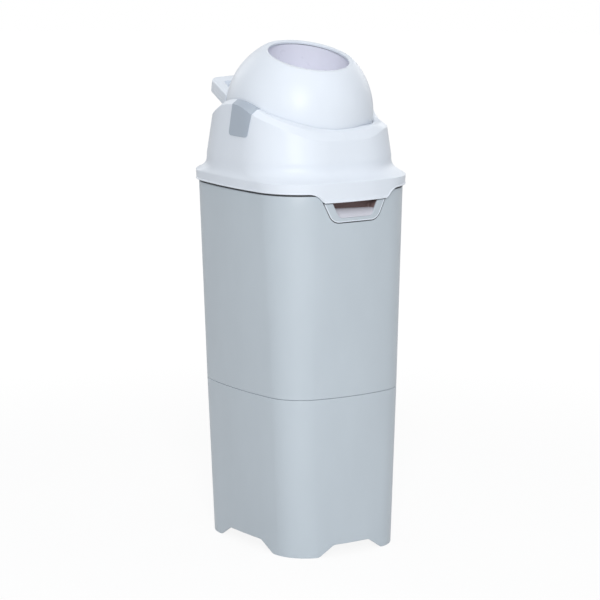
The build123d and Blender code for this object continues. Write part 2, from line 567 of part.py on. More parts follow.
# ---- all pieces ----------------------------------------------------------------------------------------
def pieces():
    """Every sub-part by name."""
    named = {
        "tub_lower": tub_lower(),
        "tub_upper": tub_upper(),
        "finger_scoop": finger_scoop(),
        "bracket_screws": bracket_screws(),
        "head_shell": head_shell(),
        "side_plate": side_plate(),
        "head_gasket": head_gasket(),
        "drum_seal": drum_seal(),
        "cap_screws": cap_screws(),
        "drum_half_upper": leaned(drum_half()),
        "drum_half_lower": leaned(drum_half(), turned=True),
        "drum_cylinder": leaned(drum_cylinder()),
        "handle_upper": drilled(handle_layer(0, HANDLE_ABOVE), -1, 7),
        "handle_lower": drilled(handle_layer(-HANDLE_BELOW, 0), -HANDLE_BELOW - 1, 1),
        "handle_screws": handle_screws(),
        "piston_disc": on_lower_lip(piston_disc()),
        "piston_wiper_lower": on_lower_lip(piston_wiper(4.0)),
        "piston_wiper_upper": on_lower_lip(piston_wiper(PISTON_HEIGHT - 4.0 - SEAL_BAND)),
    }
    for side, word in ((-1, "left"), (1, "right")):
        named[f"hinge_bracket_{word}"] = hinge_bracket(side * HINGE_X)
        named[f"hinge_pin_{word}"] = hinge_pin(side * HINGE_X)
        named[f"bearing_cap_{word}"] = bearing_cap(side)
        named[f"axle_bush_{word}"] = axle_bush(side)
        named[f"axle_stub_{word}"] = axle_stub(side)
    return named


if __name__ == "__main__":
    os.makedirs("parts", exist_ok=True)
    for name, shape in pieces().items():
        export_step(shape, f"parts/{name}.step")
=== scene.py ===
"""Nappy bin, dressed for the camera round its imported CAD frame.

A tapered grey tub in two mouldings carries a white hinged head. A ball-shaped drum turns in the head,
and a piston slides through the drum. Sizes in the classes below are millimetres, as a draughtsman
writes them. The meshes are in metres, in the frame's own coordinates.
"""

from __future__ import annotations

import json
import logging
import math
from collections.abc import Callable, Iterator, Sequence
from contextlib import contextmanager
from dataclasses import dataclass, field
from enum import Enum

import bmesh
import bpy
from mathutils import Euler, Matrix, Vector

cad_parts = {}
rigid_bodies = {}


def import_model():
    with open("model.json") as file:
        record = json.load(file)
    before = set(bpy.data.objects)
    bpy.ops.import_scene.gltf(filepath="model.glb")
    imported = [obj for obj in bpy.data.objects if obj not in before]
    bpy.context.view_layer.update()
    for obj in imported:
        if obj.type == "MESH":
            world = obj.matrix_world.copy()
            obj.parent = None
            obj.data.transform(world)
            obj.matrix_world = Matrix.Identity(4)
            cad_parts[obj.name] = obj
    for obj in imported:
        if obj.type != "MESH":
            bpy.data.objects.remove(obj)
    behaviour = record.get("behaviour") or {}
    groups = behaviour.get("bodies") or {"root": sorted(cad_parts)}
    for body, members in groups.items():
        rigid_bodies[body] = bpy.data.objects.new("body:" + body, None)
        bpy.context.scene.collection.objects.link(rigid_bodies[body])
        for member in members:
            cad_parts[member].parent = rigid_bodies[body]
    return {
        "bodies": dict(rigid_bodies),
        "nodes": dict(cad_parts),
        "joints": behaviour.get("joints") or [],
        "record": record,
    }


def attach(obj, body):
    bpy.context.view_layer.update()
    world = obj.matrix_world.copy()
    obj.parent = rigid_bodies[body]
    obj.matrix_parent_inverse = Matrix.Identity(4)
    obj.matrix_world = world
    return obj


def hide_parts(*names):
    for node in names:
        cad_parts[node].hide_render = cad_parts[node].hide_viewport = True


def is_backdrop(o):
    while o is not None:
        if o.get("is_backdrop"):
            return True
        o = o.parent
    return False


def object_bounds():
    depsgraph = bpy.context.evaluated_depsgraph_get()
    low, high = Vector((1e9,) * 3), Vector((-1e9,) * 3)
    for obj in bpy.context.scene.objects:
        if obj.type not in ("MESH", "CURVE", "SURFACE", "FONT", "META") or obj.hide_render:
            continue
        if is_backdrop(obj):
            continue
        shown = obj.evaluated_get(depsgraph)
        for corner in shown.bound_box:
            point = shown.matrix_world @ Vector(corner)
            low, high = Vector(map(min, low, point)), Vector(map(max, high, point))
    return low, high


logging.basicConfig(level=logging.INFO, format="%(message)s")
LOG = logging.getLogger("nappy_bin")

MM = 0.001
AXIS_Y = -2.0
"""The drum's axis lies this far from the origin, towards the front."""

Point = tuple[float, float, float]
Plan = tuple[float, float]
Ring = list[Point]


class Part(Enum):
    """The bodies that the pieces ride on."""

    BIN = "bin"
    HEAD = "head"
    DRUM = "drum"
    PISTON = "piston"


class Side(Enum):
    """The two ends of the axle."""

    LEFT = -1
    RIGHT = 1


class Join(Enum):
    """How a drawn wall ends."""

    OPEN = "open"
    LOOP = "its last ring meets its first"
    CAPPED = "a face closes each end"


# ---- finishes --------------------------------------------------------------------------------------


def linear(colour: tuple[float, float, float]) -> tuple[float, float, float, float]:
    """Turn a colour as it looks on a screen into the linear values that shaders use.

    Args:
        colour: red, green and blue from 0 to 255.

    Returns:
        Linear red, green, blue and an alpha of 1.
    """
    values = []
    for channel in colour:
        share = channel / 255.0
        values.append(share / 12.92 if share <= 0.04045 else ((share + 0.055) / 1.055) ** 2.4)
    return (values[0], values[1], values[2], 1.0)


class ShaderBench:
    """A material's node tree, with short calls for the nodes that the finishes share."""

    def __init__(self, name: str) -> None:
        """Start a material.

        Args:
            name: the material's name.
        """
        self.material = bpy.data.materials.new(name)
        self.material.use_nodes = True
        self.tree = self.material.node_tree
        self.shader = self.tree.nodes["Principled BSDF"]
        self.place = self.tree.nodes.new("ShaderNodeTexCoord").outputs["Object"]

    def wire(self, source: bpy.types.NodeSocket, target: bpy.types.NodeSocket) -> None:
        """Link two sockets."""
        self.tree.links.new(source, target)

    def stretched(self, scale: tuple[float, float, float]) -> bpy.types.NodeSocket:
        """Object coordinates, stretched along the axes.

        Args:
            scale: factor along each axis.

        Returns:
            The stretched coordinates.
        """
        node = self.tree.nodes.new("ShaderNodeMapping")
        node.inputs["Scale"].default_value = scale
        self.wire(self.place, node.inputs["Vector"])
        return node.outputs["Vector"]

    def noise(
        self,
        size_mm: float,
        detail: float = 2.0,
        where: bpy.types.NodeSocket | None = None,
    ) -> bpy.types.NodeSocket:
        """Soft random variation.

        Args:
            size_mm: width of one patch.
            detail: how many finer layers are added.
            where: coordinates, if not the object's own.

        Returns:
            The value from 0 to 1.
        """
        node = self.tree.nodes.new("ShaderNodeTexNoise")
        node.inputs["Scale"].default_value = 1.0 / (size_mm * MM)
        node.inputs["Detail"].default_value = detail
        self.wire(where or self.place, node.inputs["Vector"])
        return node.outputs["Fac"]

    def pebbles(self, size_mm: float) -> bpy.types.NodeSocket:
        """Rounded cells, as left by a spark-eroded mould.

        Args:
            size_mm: width of one cell.

        Returns:
            The distance from each cell's middle.
        """
        node = self.tree.nodes.new("ShaderNodeTexVoronoi")
        node.inputs["Scale"].default_value = 1.0 / (size_mm * MM)
        self.wire(self.place, node.inputs["Vector"])
        return node.outputs["Distance"]

    def between(
        self, value: bpy.types.NodeSocket, low: float, high: float
    ) -> bpy.types.NodeSocket:
        """Spread a value, which mostly lies from 0.3 to 0.7, over a range.

        Args:
            value: the value.
            low: result at 0.3 and below.
            high: result at 0.7 and above.

        Returns:
            The new value.
        """
        node = self.tree.nodes.new("ShaderNodeMapRange")
        node.inputs["From Min"].default_value = 0.3
        node.inputs["From Max"].default_value = 0.7
        node.inputs["To Min"].default_value = low
        node.inputs["To Max"].default_value = high
        self.wire(value, node.inputs["Value"])
        return node.outputs["Result"]

    def blend(
        self,
        share: bpy.types.NodeSocket,
        first: tuple[float, float, float],
        second: tuple[float, float, float],
    ) -> bpy.types.NodeSocket:
        """Run from one colour to another.

        Args:
            share: 0 for the first colour, 1 for the second.
            first: colour on a screen, 0 to 255.
            second: colour on a screen, 0 to 255.

        Returns:
            The colour.
        """
        node = self.tree.nodes.new("ShaderNodeMix")
        node.data_type = "RGBA"
        self.wire(share, node.inputs["Factor"])
        sockets = [s for s in node.inputs if s.name in ("A", "B") and s.type == "RGBA"]
        sockets[0].default_value = linear(first)
        sockets[1].default_value = linear(second)
        return [s for s in node.outputs if s.type == "RGBA"][0]

    def bump(
        self,
        height: bpy.types.NodeSocket,
        depth_mm: float,
        under: bpy.types.NodeSocket | None = None,
    ) -> bpy.types.NodeSocket:
        """Raise and sink the surface.

        Args:
            height: pattern of heights, 0 to 1.
            depth_mm: height of the relief.
            under: relief that this one lies on.

        Returns:
            The normal.
        """
        node = self.tree.nodes.new("ShaderNodeBump")
        node.inputs["Distance"].default_value = depth_mm * MM
        node.inputs["Strength"].default_value = 1.0
        self.wire(height, node.inputs["Height"])
        if under is not None:
            self.wire(under, node.inputs["Normal"])
        return node.outputs["Normal"]


@dataclass(frozen=True)
class MouldedPlastic:
    """Satin moulded plastic: fine mould grain, a faint wave from cooling and slight colour drift."""

    name: str
    slot: str
    colour: tuple[float, float, float]
    roughness: float = 0.38
    drift: float = 2.0
    grain_mm: float = 0.9
    grain_depth: float = 0.010
    wave_depth: float = 0.05
    gloss: float = 0.5

    def material(self) -> bpy.types.Material:
        """Build the material.

        Returns:
            The material.
        """
        bench = ShaderBench(self.name)
        shader = bench.shader
        light = tuple(min(255.0, c + self.drift) for c in self.colour)
        dark = tuple(c - self.drift for c in self.colour)
        flow = bench.noise(70.0, 3.0, bench.stretched((1.0, 1.0, 0.45)))
        bench.wire(
            bench.blend(bench.between(flow, 0.0, 1.0), dark, light),
            shader.inputs["Base Color"],
        )
        rubbed = bench.noise(26.0, 4.0)
        bench.wire(
            bench.between(rubbed, self.roughness - 0.035, self.roughness + 0.035),
            shader.inputs["Roughness"],
        )
        shader.inputs["Specular IOR Level"].default_value = self.gloss
        wave = bench.bump(bench.noise(38.0, 1.0), self.wave_depth)
        grain = bench.bump(bench.pebbles(self.grain_mm), self.grain_depth, wave)
        bench.wire(grain, shader.inputs["Normal"])
        return bench.material


@dataclass(frozen=True)
class SoftRubber:
    """Matt seal rubber with a dusty bloom."""

    name: str = "seal_rubber_finish"
    slot: str = "seal_rubber"
    colour: tuple[float, float, float] = (58.0, 60.0, 63.0)
    bloom: tuple[float, float, float] = (82.0, 84.0, 87.0)
    roughness: float = 0.72

    def material(self) -> bpy.types.Material:
        """Build the material.

        Returns:
            The material.
        """
        bench = ShaderBench(self.name)
        shader = bench.shader
        dust = bench.noise(9.0, 5.0)
        bench.wire(
            bench.blend(bench.between(dust, 0.0, 1.0), self.colour, self.bloom),
            shader.inputs["Base Color"],
        )
        bench.wire(
            bench.between(dust, self.roughness - 0.08, self.roughness + 0.1),
            shader.inputs["Roughness"],
        )
        bench.wire(bench.bump(bench.noise(0.8, 3.0), 0.03), shader.inputs["Normal"])
        return bench.material


@dataclass(frozen=True)
class TurnedSteel:
    """Bright steel with fine lines round it from the lathe."""

    name: str = "turned_steel_finish"
    slot: str = "steel"
    colour: tuple[float, float, float] = (196.0, 197.0, 199.0)
    shadow: tuple[float, float, float] = (176.0, 178.0, 182.0)
    roughness: float = 0.3

    def material(self) -> bpy.types.Material:
        """Build the material.

        Returns:
            The material.
        """
        bench = ShaderBench(self.name)
        shader = bench.shader
        shader.inputs["Metallic"].default_value = 1.0
        lines = bench.noise(0.35, 3.0, bench.stretched((1.0, 0.08, 0.08)))
        bench.wire(
            bench.blend(bench.between(lines, 0.0, 1.0), self.shadow, self.colour),
            shader.inputs["Base Color"],
        )
        bench.wire(
            bench.between(lines, self.roughness - 0.05, self.roughness + 0.12),
            shader.inputs["Roughness"],
        )
        bench.wire(bench.bump(lines, 0.01), shader.inputs["Normal"])
        return bench.material


Finish = MouldedPlastic | SoftRubber | TurnedSteel

TUB_GREY = MouldedPlastic(
    "tub_grey_satin", "body_plastic", (190.0, 200.0, 208.0), roughness=0.42
)
HEAD_WHITE = MouldedPlastic(
    "head_white_satin",
    "head_plastic",
    (226.0, 233.0, 242.0),
    roughness=0.4,
    grain_depth=0.006,
    gloss=0.32,
)
BORE_LAVENDER = MouldedPlastic(
    "bore_lavender_smooth",
    "bore_plastic",
    (240.0, 241.0, 253.0),
    roughness=0.3,
    grain_depth=0.003,
)
PLATE_GREY = MouldedPlastic(
    "plate_grey_satin", "plate_plastic", (170.0, 181.0, 194.0), roughness=0.34
)
# Dark brown for the pocket behind the finger slot: painted shade standing in for the slot's shadowed inside.
POCKET_SHADE_BROWN = MouldedPlastic(
    "pocket_painted_shade_brown", "body_plastic", (140.0, 118.0, 117.0), roughness=0.6
)
BOWL_LILAC = MouldedPlastic(
    "bowl_lilac_satin", "head_plastic", (205.0, 206.0, 216.0), roughness=0.45
)
BUSH_WHITE = MouldedPlastic(
    "bush_white_smooth", "bush_plastic", (222.0, 223.0, 218.0), roughness=0.28
)
# Rubber for the real gaskets and wipers, and also for the dark strips and rings that are painted shade lines.
RUBBER = SoftRubber()
STEEL = TurnedSteel()


class Paintshop:
    """Keeps one material for each finish and puts it on pieces and on the frame's nodes."""

    def __init__(self) -> None:
        """Start with no materials."""
        self.made: dict[str, bpy.types.Material] = {}

    def coat(self, piece: bpy.types.Object, finish: Finish) -> None:
        """Give a piece its finish.

        Args:
            piece: the object.
            finish: the finish.
        """
        if finish.name not in self.made:
            self.made[finish.name] = finish.material()
        piece.data.materials.clear()
        piece.data.materials.append(self.made[finish.name])


# ---- modelling by hand -----------------------------------------------------------------------------


def select_only(*pieces: bpy.types.Object) -> None:
    """Select these objects and nothing else, and make the first the active one."""
    bpy.ops.object.select_all(action="DESELECT")
    for piece in pieces:
        piece.select_set(True)
    bpy.context.view_layer.objects.active = pieces[0]


@contextmanager
def editing(piece: bpy.types.Object) -> Iterator[None]:
    """Edit mode on one piece, with vertices as the thing selected.

    Args:
        piece: the object.

    Yields:
        Nothing.
    """
    select_only(piece)
    bpy.ops.object.mode_set(mode="EDIT")
    bpy.ops.mesh.select_mode(type="VERT")
    try:
        yield
    finally:
        bpy.ops.object.mode_set(mode="OBJECT")


def started_circle(name: str, points: int) -> bpy.types.Object:
    """Add a circle of bare edges at the origin and number its points.

    Args:
        name: name of the piece.
        points: how many points it has.

    Returns:
        The object.
    """
    bpy.ops.object.select_all(action="DESELECT")
    bpy.ops.mesh.primitive_circle_add(
        vertices=points, radius=0.1, fill_type="NOTHING", location=(0.0, 0.0, 0.0)
    )
    piece = bpy.context.object
    piece.name = name
    piece.data.name = name
    column = piece.data.attributes.new("column", "INT", "POINT")
    column.data.foreach_set("value", list(range(points)))
    return piece


def seat_ring(piece: bpy.types.Object, ring: Ring) -> None:
    """Seat the newest ring of points, each by its column, on a ring of places.

    Args:
        piece: the object, in edit mode.
        ring: places in millimetres, one for each column.
    """
    mesh = bmesh.from_edit_mesh(piece.data)
    mesh.verts.ensure_lookup_table()
    column = mesh.verts.layers.int["column"]
    for vertex in mesh.verts[len(mesh.verts) - len(ring) :]:
        place = ring[vertex[column]]
        vertex.co = (place[0] * MM, place[1] * MM, place[2] * MM)
    bmesh.update_edit_mesh(piece.data)


def select_where(piece: bpy.types.Object, wanted: Callable[[Vector], bool]) -> int:
    """Select the faces whose middle is wanted.

    Args:
        piece: the object, in edit mode.
        wanted: says of a place in millimetres whether it is wanted.

    Returns:
        How many faces are selected.
    """
    bpy.ops.mesh.select_mode(type="FACE")
    bpy.ops.mesh.select_all(action="DESELECT")
    mesh = bmesh.from_edit_mesh(piece.data)
    count = 0
    for face in mesh.faces:
        if wanted(face.calc_center_median() / MM):
            face.select_set(True)
            count += 1
    bmesh.update_edit_mesh(piece.data)
    return count


def drawn_wall(
    name: str, rings: Sequence[Ring], join: Join = Join.LOOP
) -> bpy.types.Object:
    """Draw a circle along a wall's rings, one extrusion for each, and seat each ring on its outline.

    Args:
        name: name of the piece.
        rings: the rings in order, all with the same number of points.
        join: how the wall ends.

    Returns:
        The object.
    """
    points = len(rings[0])
    piece = started_circle(name, points)
    with editing(piece):
        bpy.ops.mesh.select_all(action="SELECT")
        seat_ring(piece, rings[0])
        for ring in rings[1:]:
            bpy.ops.mesh.extrude_region_move(
                TRANSFORM_OT_translate={"value": (0.0, 0.0, MM)}
            )
            seat_ring(piece, ring)
        if join is Join.LOOP:
            pick_ends(piece, points)
            bpy.ops.mesh.bridge_edge_loops()
        elif join is Join.CAPPED:
            bpy.ops.mesh.edge_face_add()
            pick_ends(piece, points, first_only=True)
            bpy.ops.mesh.edge_face_add()
        bpy.ops.mesh.select_all(action="SELECT")
        bpy.ops.mesh.remove_doubles(threshold=0.00001)
        bpy.ops.mesh.normals_make_consistent(inside=False)
    drop_numbers(piece)
    return piece


def pick_ends(piece: bpy.types.Object, points: int, first_only: bool = False) -> None:
    """Select a wall's first ring, and its last unless only the first is asked for.

    Args:
        piece: the object, in edit mode.
        points: points in each ring.
        first_only: leave the last ring out.
    """
    bpy.ops.mesh.select_all(action="DESELECT")
    mesh = bmesh.from_edit_mesh(piece.data)
    mesh.verts.ensure_lookup_table()
    chosen = list(mesh.verts[:points])
    if not first_only:
        chosen += list(mesh.verts[len(mesh.verts) - points :])
    for vertex in chosen:
        vertex.select_set(True)
    wanted = set(chosen)
    for edge in mesh.edges:
        if edge.verts[0] in wanted and edge.verts[1] in wanted:
            edge.select_set(True)
    bmesh.update_edit_mesh(piece.data)


def drop_numbers(piece: bpy.types.Object) -> None:
    """Remove the column numbers from a finished mesh."""
    numbers = piece.data.attributes.get("column")
    if numbers is not None:
        piece.data.attributes.remove(numbers)


def turned(name: str, profile: Sequence[Plan], steps: int = 160) -> bpy.types.Object:
    """Turn a closed profile about the upright axis, as on a lathe.

    Args:
        name: name of the piece.
        profile: radius and height of each corner, in order.
        steps: how many steps make the full turn.

    Returns:
        The object.
    """
    piece = started_circle(name, len(profile))
    with editing(piece):
        bpy.ops.mesh.select_all(action="SELECT")
        seat_ring(piece, [(r, 0.0, z) for r, z in profile])
        bpy.ops.mesh.spin(
            steps=steps,
            angle=math.tau,
            center=(0.0, 0.0, 0.0),
            axis=(0.0, 0.0, 1.0),
            use_auto_merge=False,
        )
        bpy.ops.mesh.select_all(action="SELECT")
        bpy.ops.mesh.remove_doubles(threshold=0.00001)
        bpy.ops.mesh.normals_make_consistent(inside=False)
    drop_numbers(piece)
    return piece


def carve(
    piece: bpy.types.Object, tool: bpy.types.Object, operation: str = "DIFFERENCE"
) -> None:
    """Cut a piece with a tool, which is used up.

    Args:
        piece: the object that is cut.
        tool: the object that cuts.
        operation: the Boolean modifier's operation.
    """
    select_only(piece)
    cut = piece.modifiers.new("cut", "BOOLEAN")
    cut.operation = operation
    cut.solver = "EXACT"
    cut.object = tool
    bpy.ops.object.modifier_apply(modifier=cut.name)
    bpy.data.objects.remove(tool)


def soften(
    piece: bpy.types.Object, width_mm: float, segments: int = 2, angle: float = 40.0
) -> None:
    """Round a piece's sharp edges.

    Args:
        piece: the object.
        width_mm: width of the rounding.
        segments: steps across it.
        angle: edges sharper than this, in degrees, are rounded.
    """
    select_only(piece)
    edge = piece.modifiers.new("edge", "BEVEL")
    edge.width = width_mm * MM
    edge.segments = segments
    edge.limit_method = "ANGLE"
    edge.angle_limit = math.radians(angle)
    edge.use_clamp_overlap = True
    edge.harden_normals = False
    bpy.ops.object.modifier_apply(modifier=edge.name)


def thicken(piece: bpy.types.Object, depth_mm: float) -> None:
    """Give an open sheet a wall behind its face."""
    select_only(piece)
    wall = piece.modifiers.new("wall", "SOLIDIFY")
    wall.thickness = depth_mm * MM
    wall.offset = 0.0
    bpy.ops.object.modifier_apply(modifier=wall.name)


def smooth(piece: bpy.types.Object, angle: float = 35.0) -> None:
    """Shade a piece smooth, apart from edges sharper than an angle in degrees."""
    select_only(piece)
    bpy.ops.object.shade_smooth_by_angle(angle=math.radians(angle))


def flat_tool(
    name: str, outline: Sequence[Plan], near: float, far: float
) -> bpy.types.Object:
    """A prism along Y, for cutting: an outline in X and Z, carried from one depth to another.

    Args:
        name: name of the tool.
        outline: X and Z of each corner.
        near: Y of its first face.
        far: Y of its second face.

    Returns:
        The object.
    """
    rings = [[(x, y, z) for x, z in outline] for y in (near, far)]
    return drawn_wall(name, rings, Join.CAPPED)


# ---- outlines --------------------------------------------------------------------------------------


def arc(
    centre: Plan, radius: float, start: float, end: float, steps: int
) -> list[Plan]:
    """Points along an arc.

    Args:
        centre: its centre.
        radius: its radius.
        start: first angle, in degrees.
        end: last angle, in degrees.
        steps: how many steps it is divided in.

    Returns:
        One more point than there are steps.
    """
    points = []
    for step in range(steps + 1):
        turn = math.radians(start + (end - start) * step / steps)
        points.append(
            (centre[0] + radius * math.cos(turn), centre[1] + radius * math.sin(turn))
        )
    return points


def rounded(
    corners: Sequence[tuple[float, float, float]], steps: int = 8, closed: bool = True
) -> list[Plan]:
    """A polygon with rounded corners.

    Args:
        corners: both coordinates and the corner radius of each corner.
        steps: steps round each corner.
        closed: whether the last corner runs on to the first.

    Returns:
        The points of the outline, with the same number for each rounded corner.
    """
    points: list[Plan] = []
    count = len(corners)
    for index, (x, y, radius) in enumerate(corners):
        if radius <= 0.0 or (not closed and index in (0, count - 1)):
            points.append((x, y))
            continue
        here = Vector((x, y))
        back = (Vector(corners[index - 1][:2]) - here).normalized()
        ahead = (Vector(corners[(index + 1) % count][:2]) - here).normalized()
        half = math.acos(max(-1.0, min(1.0, back.dot(ahead)))) / 2.0
        reach = radius / math.tan(half)
        centre = here + (back + ahead).normalized() * (radius / math.sin(half))
        first, last = here + back * reach - centre, here + ahead * reach - centre
        sweep = first.angle_signed(last)
        for step in range(steps + 1):
            spoke = Matrix.Rotation(-sweep * step / steps, 2) @ first
            points.append((centre.x + spoke.x, centre.y + spoke.y))
    return points


def height_along(points: Sequence[Plan], where: float) -> float:
    """Height of a line of points at one place along it.

    Args:
        points: points from left to right.
        where: the place.

    Returns:
        The height there.
    """
    if where <= points[0][0]:
        return points[0][1]
    for (x0, z0), (x1, z1) in zip(points, points[1:]):
        if where <= x1:
            return z0 + (z1 - z0) * (where - x0) / max(x1 - x0, 1e-6)
    return points[-1][1]


@dataclass(frozen=True)
class Outline:
    """Rounded rectangle with bowed sides, seen from above. Its Y is from the drum's axis."""

    half_w: float
    front: float
    rear: float
    crown: float
    corner: float

    def grown(self, by: float) -> Outline:
        """The outline, larger all round by a distance."""
        return Outline(
            self.half_w + by,
            self.front - by,
            self.rear + by,
            self.crown,
            self.corner + by,
        )

    def toward(self, other: Outline, share: float) -> Outline:
        """The outline a share of the way to another.

        Args:
            other: the outline at a share of 1.
            share: from 0 to 1.

        Returns:
            The outline between them.
        """
        return Outline(
            *(
                getattr(self, name) + (getattr(other, name) - getattr(self, name)) * share
                for name in ("half_w", "front", "rear", "crown", "corner")
            )
        )

    def bow(self, across: float) -> tuple[float, float]:
        """The bowed side that runs on from two corner arcs.

        Args:
            across: half the distance between the corner arcs' centres.

        Returns:
            The bow's radius, and its half angle in degrees.
        """
        crown = self.crown
        radius = (across**2 + 2.0 * self.corner * crown + crown**2) / (2.0 * crown)
        return radius, math.degrees(math.asin(across / (radius - self.corner)))

    def centre(self) -> Plan:
        """Centre of a corner arc, from the outline's own middle."""
        inset = self.corner + self.crown
        return self.half_w - inset, (self.rear - self.front) / 2.0 - inset

    def front_at(self, x: float) -> float:
        """Y of the front face at a distance from its middle."""
        centre_x, _ = self.centre()
        radius, half_angle = self.bow(centre_x)
        if abs(x) <= radius * math.sin(math.radians(half_angle)):
            return self.front + radius - math.sqrt(radius * radius - x * x)
        inset = self.corner + self.crown
        return self.front + inset - math.sqrt(self.corner**2 - (abs(x) - centre_x) ** 2)

    def plan(self, flat: int = 20, long_flat: int = 48, turn: int = 48) -> list[Plan]:
        """Points round the outline, from the middle of the front towards +X and on round.

        The same counts give the same columns on every outline, and the points lie closer together
        where a corner leaves the front or the rear face.

        Args:
            flat: points on half of the front or rear.
            long_flat: points on a whole side.
            turn: points round each corner.

        Returns:
            The points.
        """
        mid = (self.front + self.rear) / 2.0
        centre_x, centre_y = self.centre()
        front_bow, front_angle = self.bow(centre_x)
        side_bow, side_angle = self.bow(centre_y)
        front_centre = (0.0, self.front + front_bow)
        quarter = arc(front_centre, front_bow, -90.0, front_angle - 90.0, flat)[:-1]
        start, end = front_angle - 90.0, -side_angle
        for step in range(turn):
            angle = math.radians(start + (end - start) * (step / turn) ** 1.45)
            x = centre_x + self.corner * math.cos(angle)
            quarter.append((x, mid - centre_y + self.corner * math.sin(angle)))
        quarter += arc((self.half_w - side_bow, mid), side_bow, end, 0.0, long_flat // 2)
        back = [(x, 2.0 * mid - y) for x, y in reversed(quarter[:-1])]
        right = quarter + back
        return right + [(-x, y) for x, y in reversed(right[1:-1])]

    def ring(self, height: float | Callable[[float, float], float]) -> Ring:
        """The outline as a ring of places in the frame.

        Args:
            height: one height, or a function of X and Y from the drum's axis.

        Returns:
            The ring.
        """
        rise = height if callable(height) else (lambda x, y: height)
        return [(x, y + AXIS_Y, rise(x, y)) for x, y in self.plan()]


# ---- tub -------------------------------------------------------------------------------------------


@dataclass
class Tub:
    """The grey tub: a lower section with feet, an upper section with a notch, and the finger scoop."""

    paint: Paintshop
    base: Outline = Outline(99.5, -138.0, 114.0, 2.8, 53.0)
    seam: Outline = Outline(111.7, -138.7, 122.3, 5.0, 55.5)
    rim: Outline = Outline(122.6, -141.8, 135.8, 3.6, 71.5)
    seam_z: float = 230.5
    rim_z: float = 532.5
    wall: float = 3.0
    floor_z: float = 24.0
    floor: float = 3.0
    foot_height: float = 16.0
    front_cut: Plan = (30.0, 55.0)
    side_cut: Plan = (40.0, 67.5)
    cut_round: float = 11.0
    lap: float = 9.0
    spigot_gap: float = 0.3
    spigot_wall: float = 2.0
    joint_gap: float = 0.5
    notch_bottom: float = 479.4
    notch_half: float = 39.0
    notch_slope: float = 0.51
    notch_round: float = 19.0
    tab_bottom: float = 509.6
    shoulder_z: float = 519.8
    shoulder: float = 2.2
    scoop_gap: float = 1.5
    bead: float = 1.7
    bead_proud: float = 0.45
    scoop_lip: float = 487.0
    scoop_slot: float = 499.0
    scoop_bar: float = 13.6
    scoop_bar_depth: float = 2.4
    scoop_hump: float = 3.0
    scoop_depth: float = 19.0
    scoop_wall: float = 2.2
    flange: float = 4.5
    finishes: dict[str, Finish] = field(
        default_factory=lambda: {
            # The scoop's white bead is a painted highlight.
            "finger_scoop_highlight_bead": HEAD_WHITE,
            # The pocket's dark brown is painted shade.
            "finger_scoop_shade_pocket": POCKET_SHADE_BROWN,
            "finger_scoop_bowl": BOWL_LILAC,
            # The dark rubber strip in the scoop's gap is painted shade.
            "finger_scoop_shade_strip": RUBBER,
            # The dark rubber strip under the band is painted shadow.
            "rim_shade_strip": RUBBER,
        }
    )

    def form(self, z: float) -> Outline:
        """The tub's outer outline at a height."""
        if z <= self.seam_z:
            return self.base.toward(self.seam, z / self.seam_z)
        share = (z - self.seam_z) / (self.rim_z - self.seam_z)
        return self.seam.toward(self.rim, share)

    def cut_line(self, cut: Plan) -> list[Plan]:
        """The eased line of one foot cut-out, from its middle outwards."""
        top, foot = cut
        corners = [
            (0.0, self.foot_height, 0.0),
            (top, self.foot_height, self.cut_round),
            (foot, 0.0, self.cut_round),
            (foot + 60.0, 0.0, 0.0),
        ]
        return rounded(corners, 14, closed=False)

    def foot_ring(self, inset: float, lift: float) -> Ring:
        """A ring along the lower edge, which rises over the cut-outs.

        Args:
            inset: how far in from the outer face.
            lift: height above the edge.

        Returns:
            The ring.
        """
        front_line = self.cut_line(self.front_cut)
        side_line = self.cut_line(self.side_cut)
        middle = (self.base.front + self.base.rear) / 2.0
        ring = []
        outer = self.base.plan()
        for x, y in outer:
            if abs(x) > self.base.half_w - self.base.corner * 0.3:
                rise = height_along(side_line, abs(y - middle))
            else:
                rise = height_along(front_line, abs(x))
            ring.append(rise + lift)
        inset_base = self.base.grown(-inset).plan()
        inset_high = self.form(self.foot_height * 2.0).grown(-inset).plan()
        placed = []
        for index, rise in enumerate(ring):
            share = rise / (self.foot_height * 2.0)
            low, high = inset_base[index], inset_high[index]
            placed.append(
                (
                    low[0] + (high[0] - low[0]) * share,
                    low[1] + (high[1] - low[1]) * share + AXIS_Y,
                    rise,
                )
            )
        return placed

    def lower_section(self) -> bpy.types.Object:
        """Draw the lower section's wall from under the floor, over the feet and the joint, to the floor.

        Returns:
            The piece.
        """
        wall = self.wall
        rings = [self.form(self.floor_z).grown(-wall).ring(self.floor_z)]
        rings.append(self.foot_ring(wall, 1.0))
        for inset, lift in ((wall - 0.5, 0.1), (0.9, 0.0), (0.35, 0.12), (0.08, 0.45), (0.0, 1.0)):
            rings.append(self.foot_ring(inset, lift))
        start = self.foot_ring(0.0, 1.0)
        top = self.form(34.0).ring(34.0)
        for step in range(1, 8):
            share = step / 8.0
            rings.append(
                [
                    tuple(a + (b - a) * share for a, b in zip(low, high))
                    for low, high in zip(start, top)
                ]
            )
        crest = self.seam_z - self.joint_gap
        for step in range(13):
            z = 34.0 + (crest - 1.0 - 34.0) * step / 12.0
            rings.append(self.form(z).ring(z))
        for inset, drop in ((0.04, 0.65), (0.15, 0.35), (0.35, 0.13), (0.7, 0.02), (1.0, 0.0)):
            rings.append(self.form(crest - drop).grown(-inset).ring(crest - drop))
        rings.append(self.form(crest).grown(-wall).ring(crest))
        inside = self.floor_z + self.floor
        for step in range(7):
            z = crest - 1.0 + (inside + 4.0 - crest + 1.0) * step / 6.0
            rings.append(self.form(z).grown(-wall).ring(z))
        for inset, lift in ((0.3, 2.2), (1.2, 0.8), (3.0, 0.0)):
            z = inside + lift
            rings.append(self.form(z).grown(-wall - inset).ring(z))
        return drawn_wall("tub_lower_moulding", rings, Join.CAPPED)

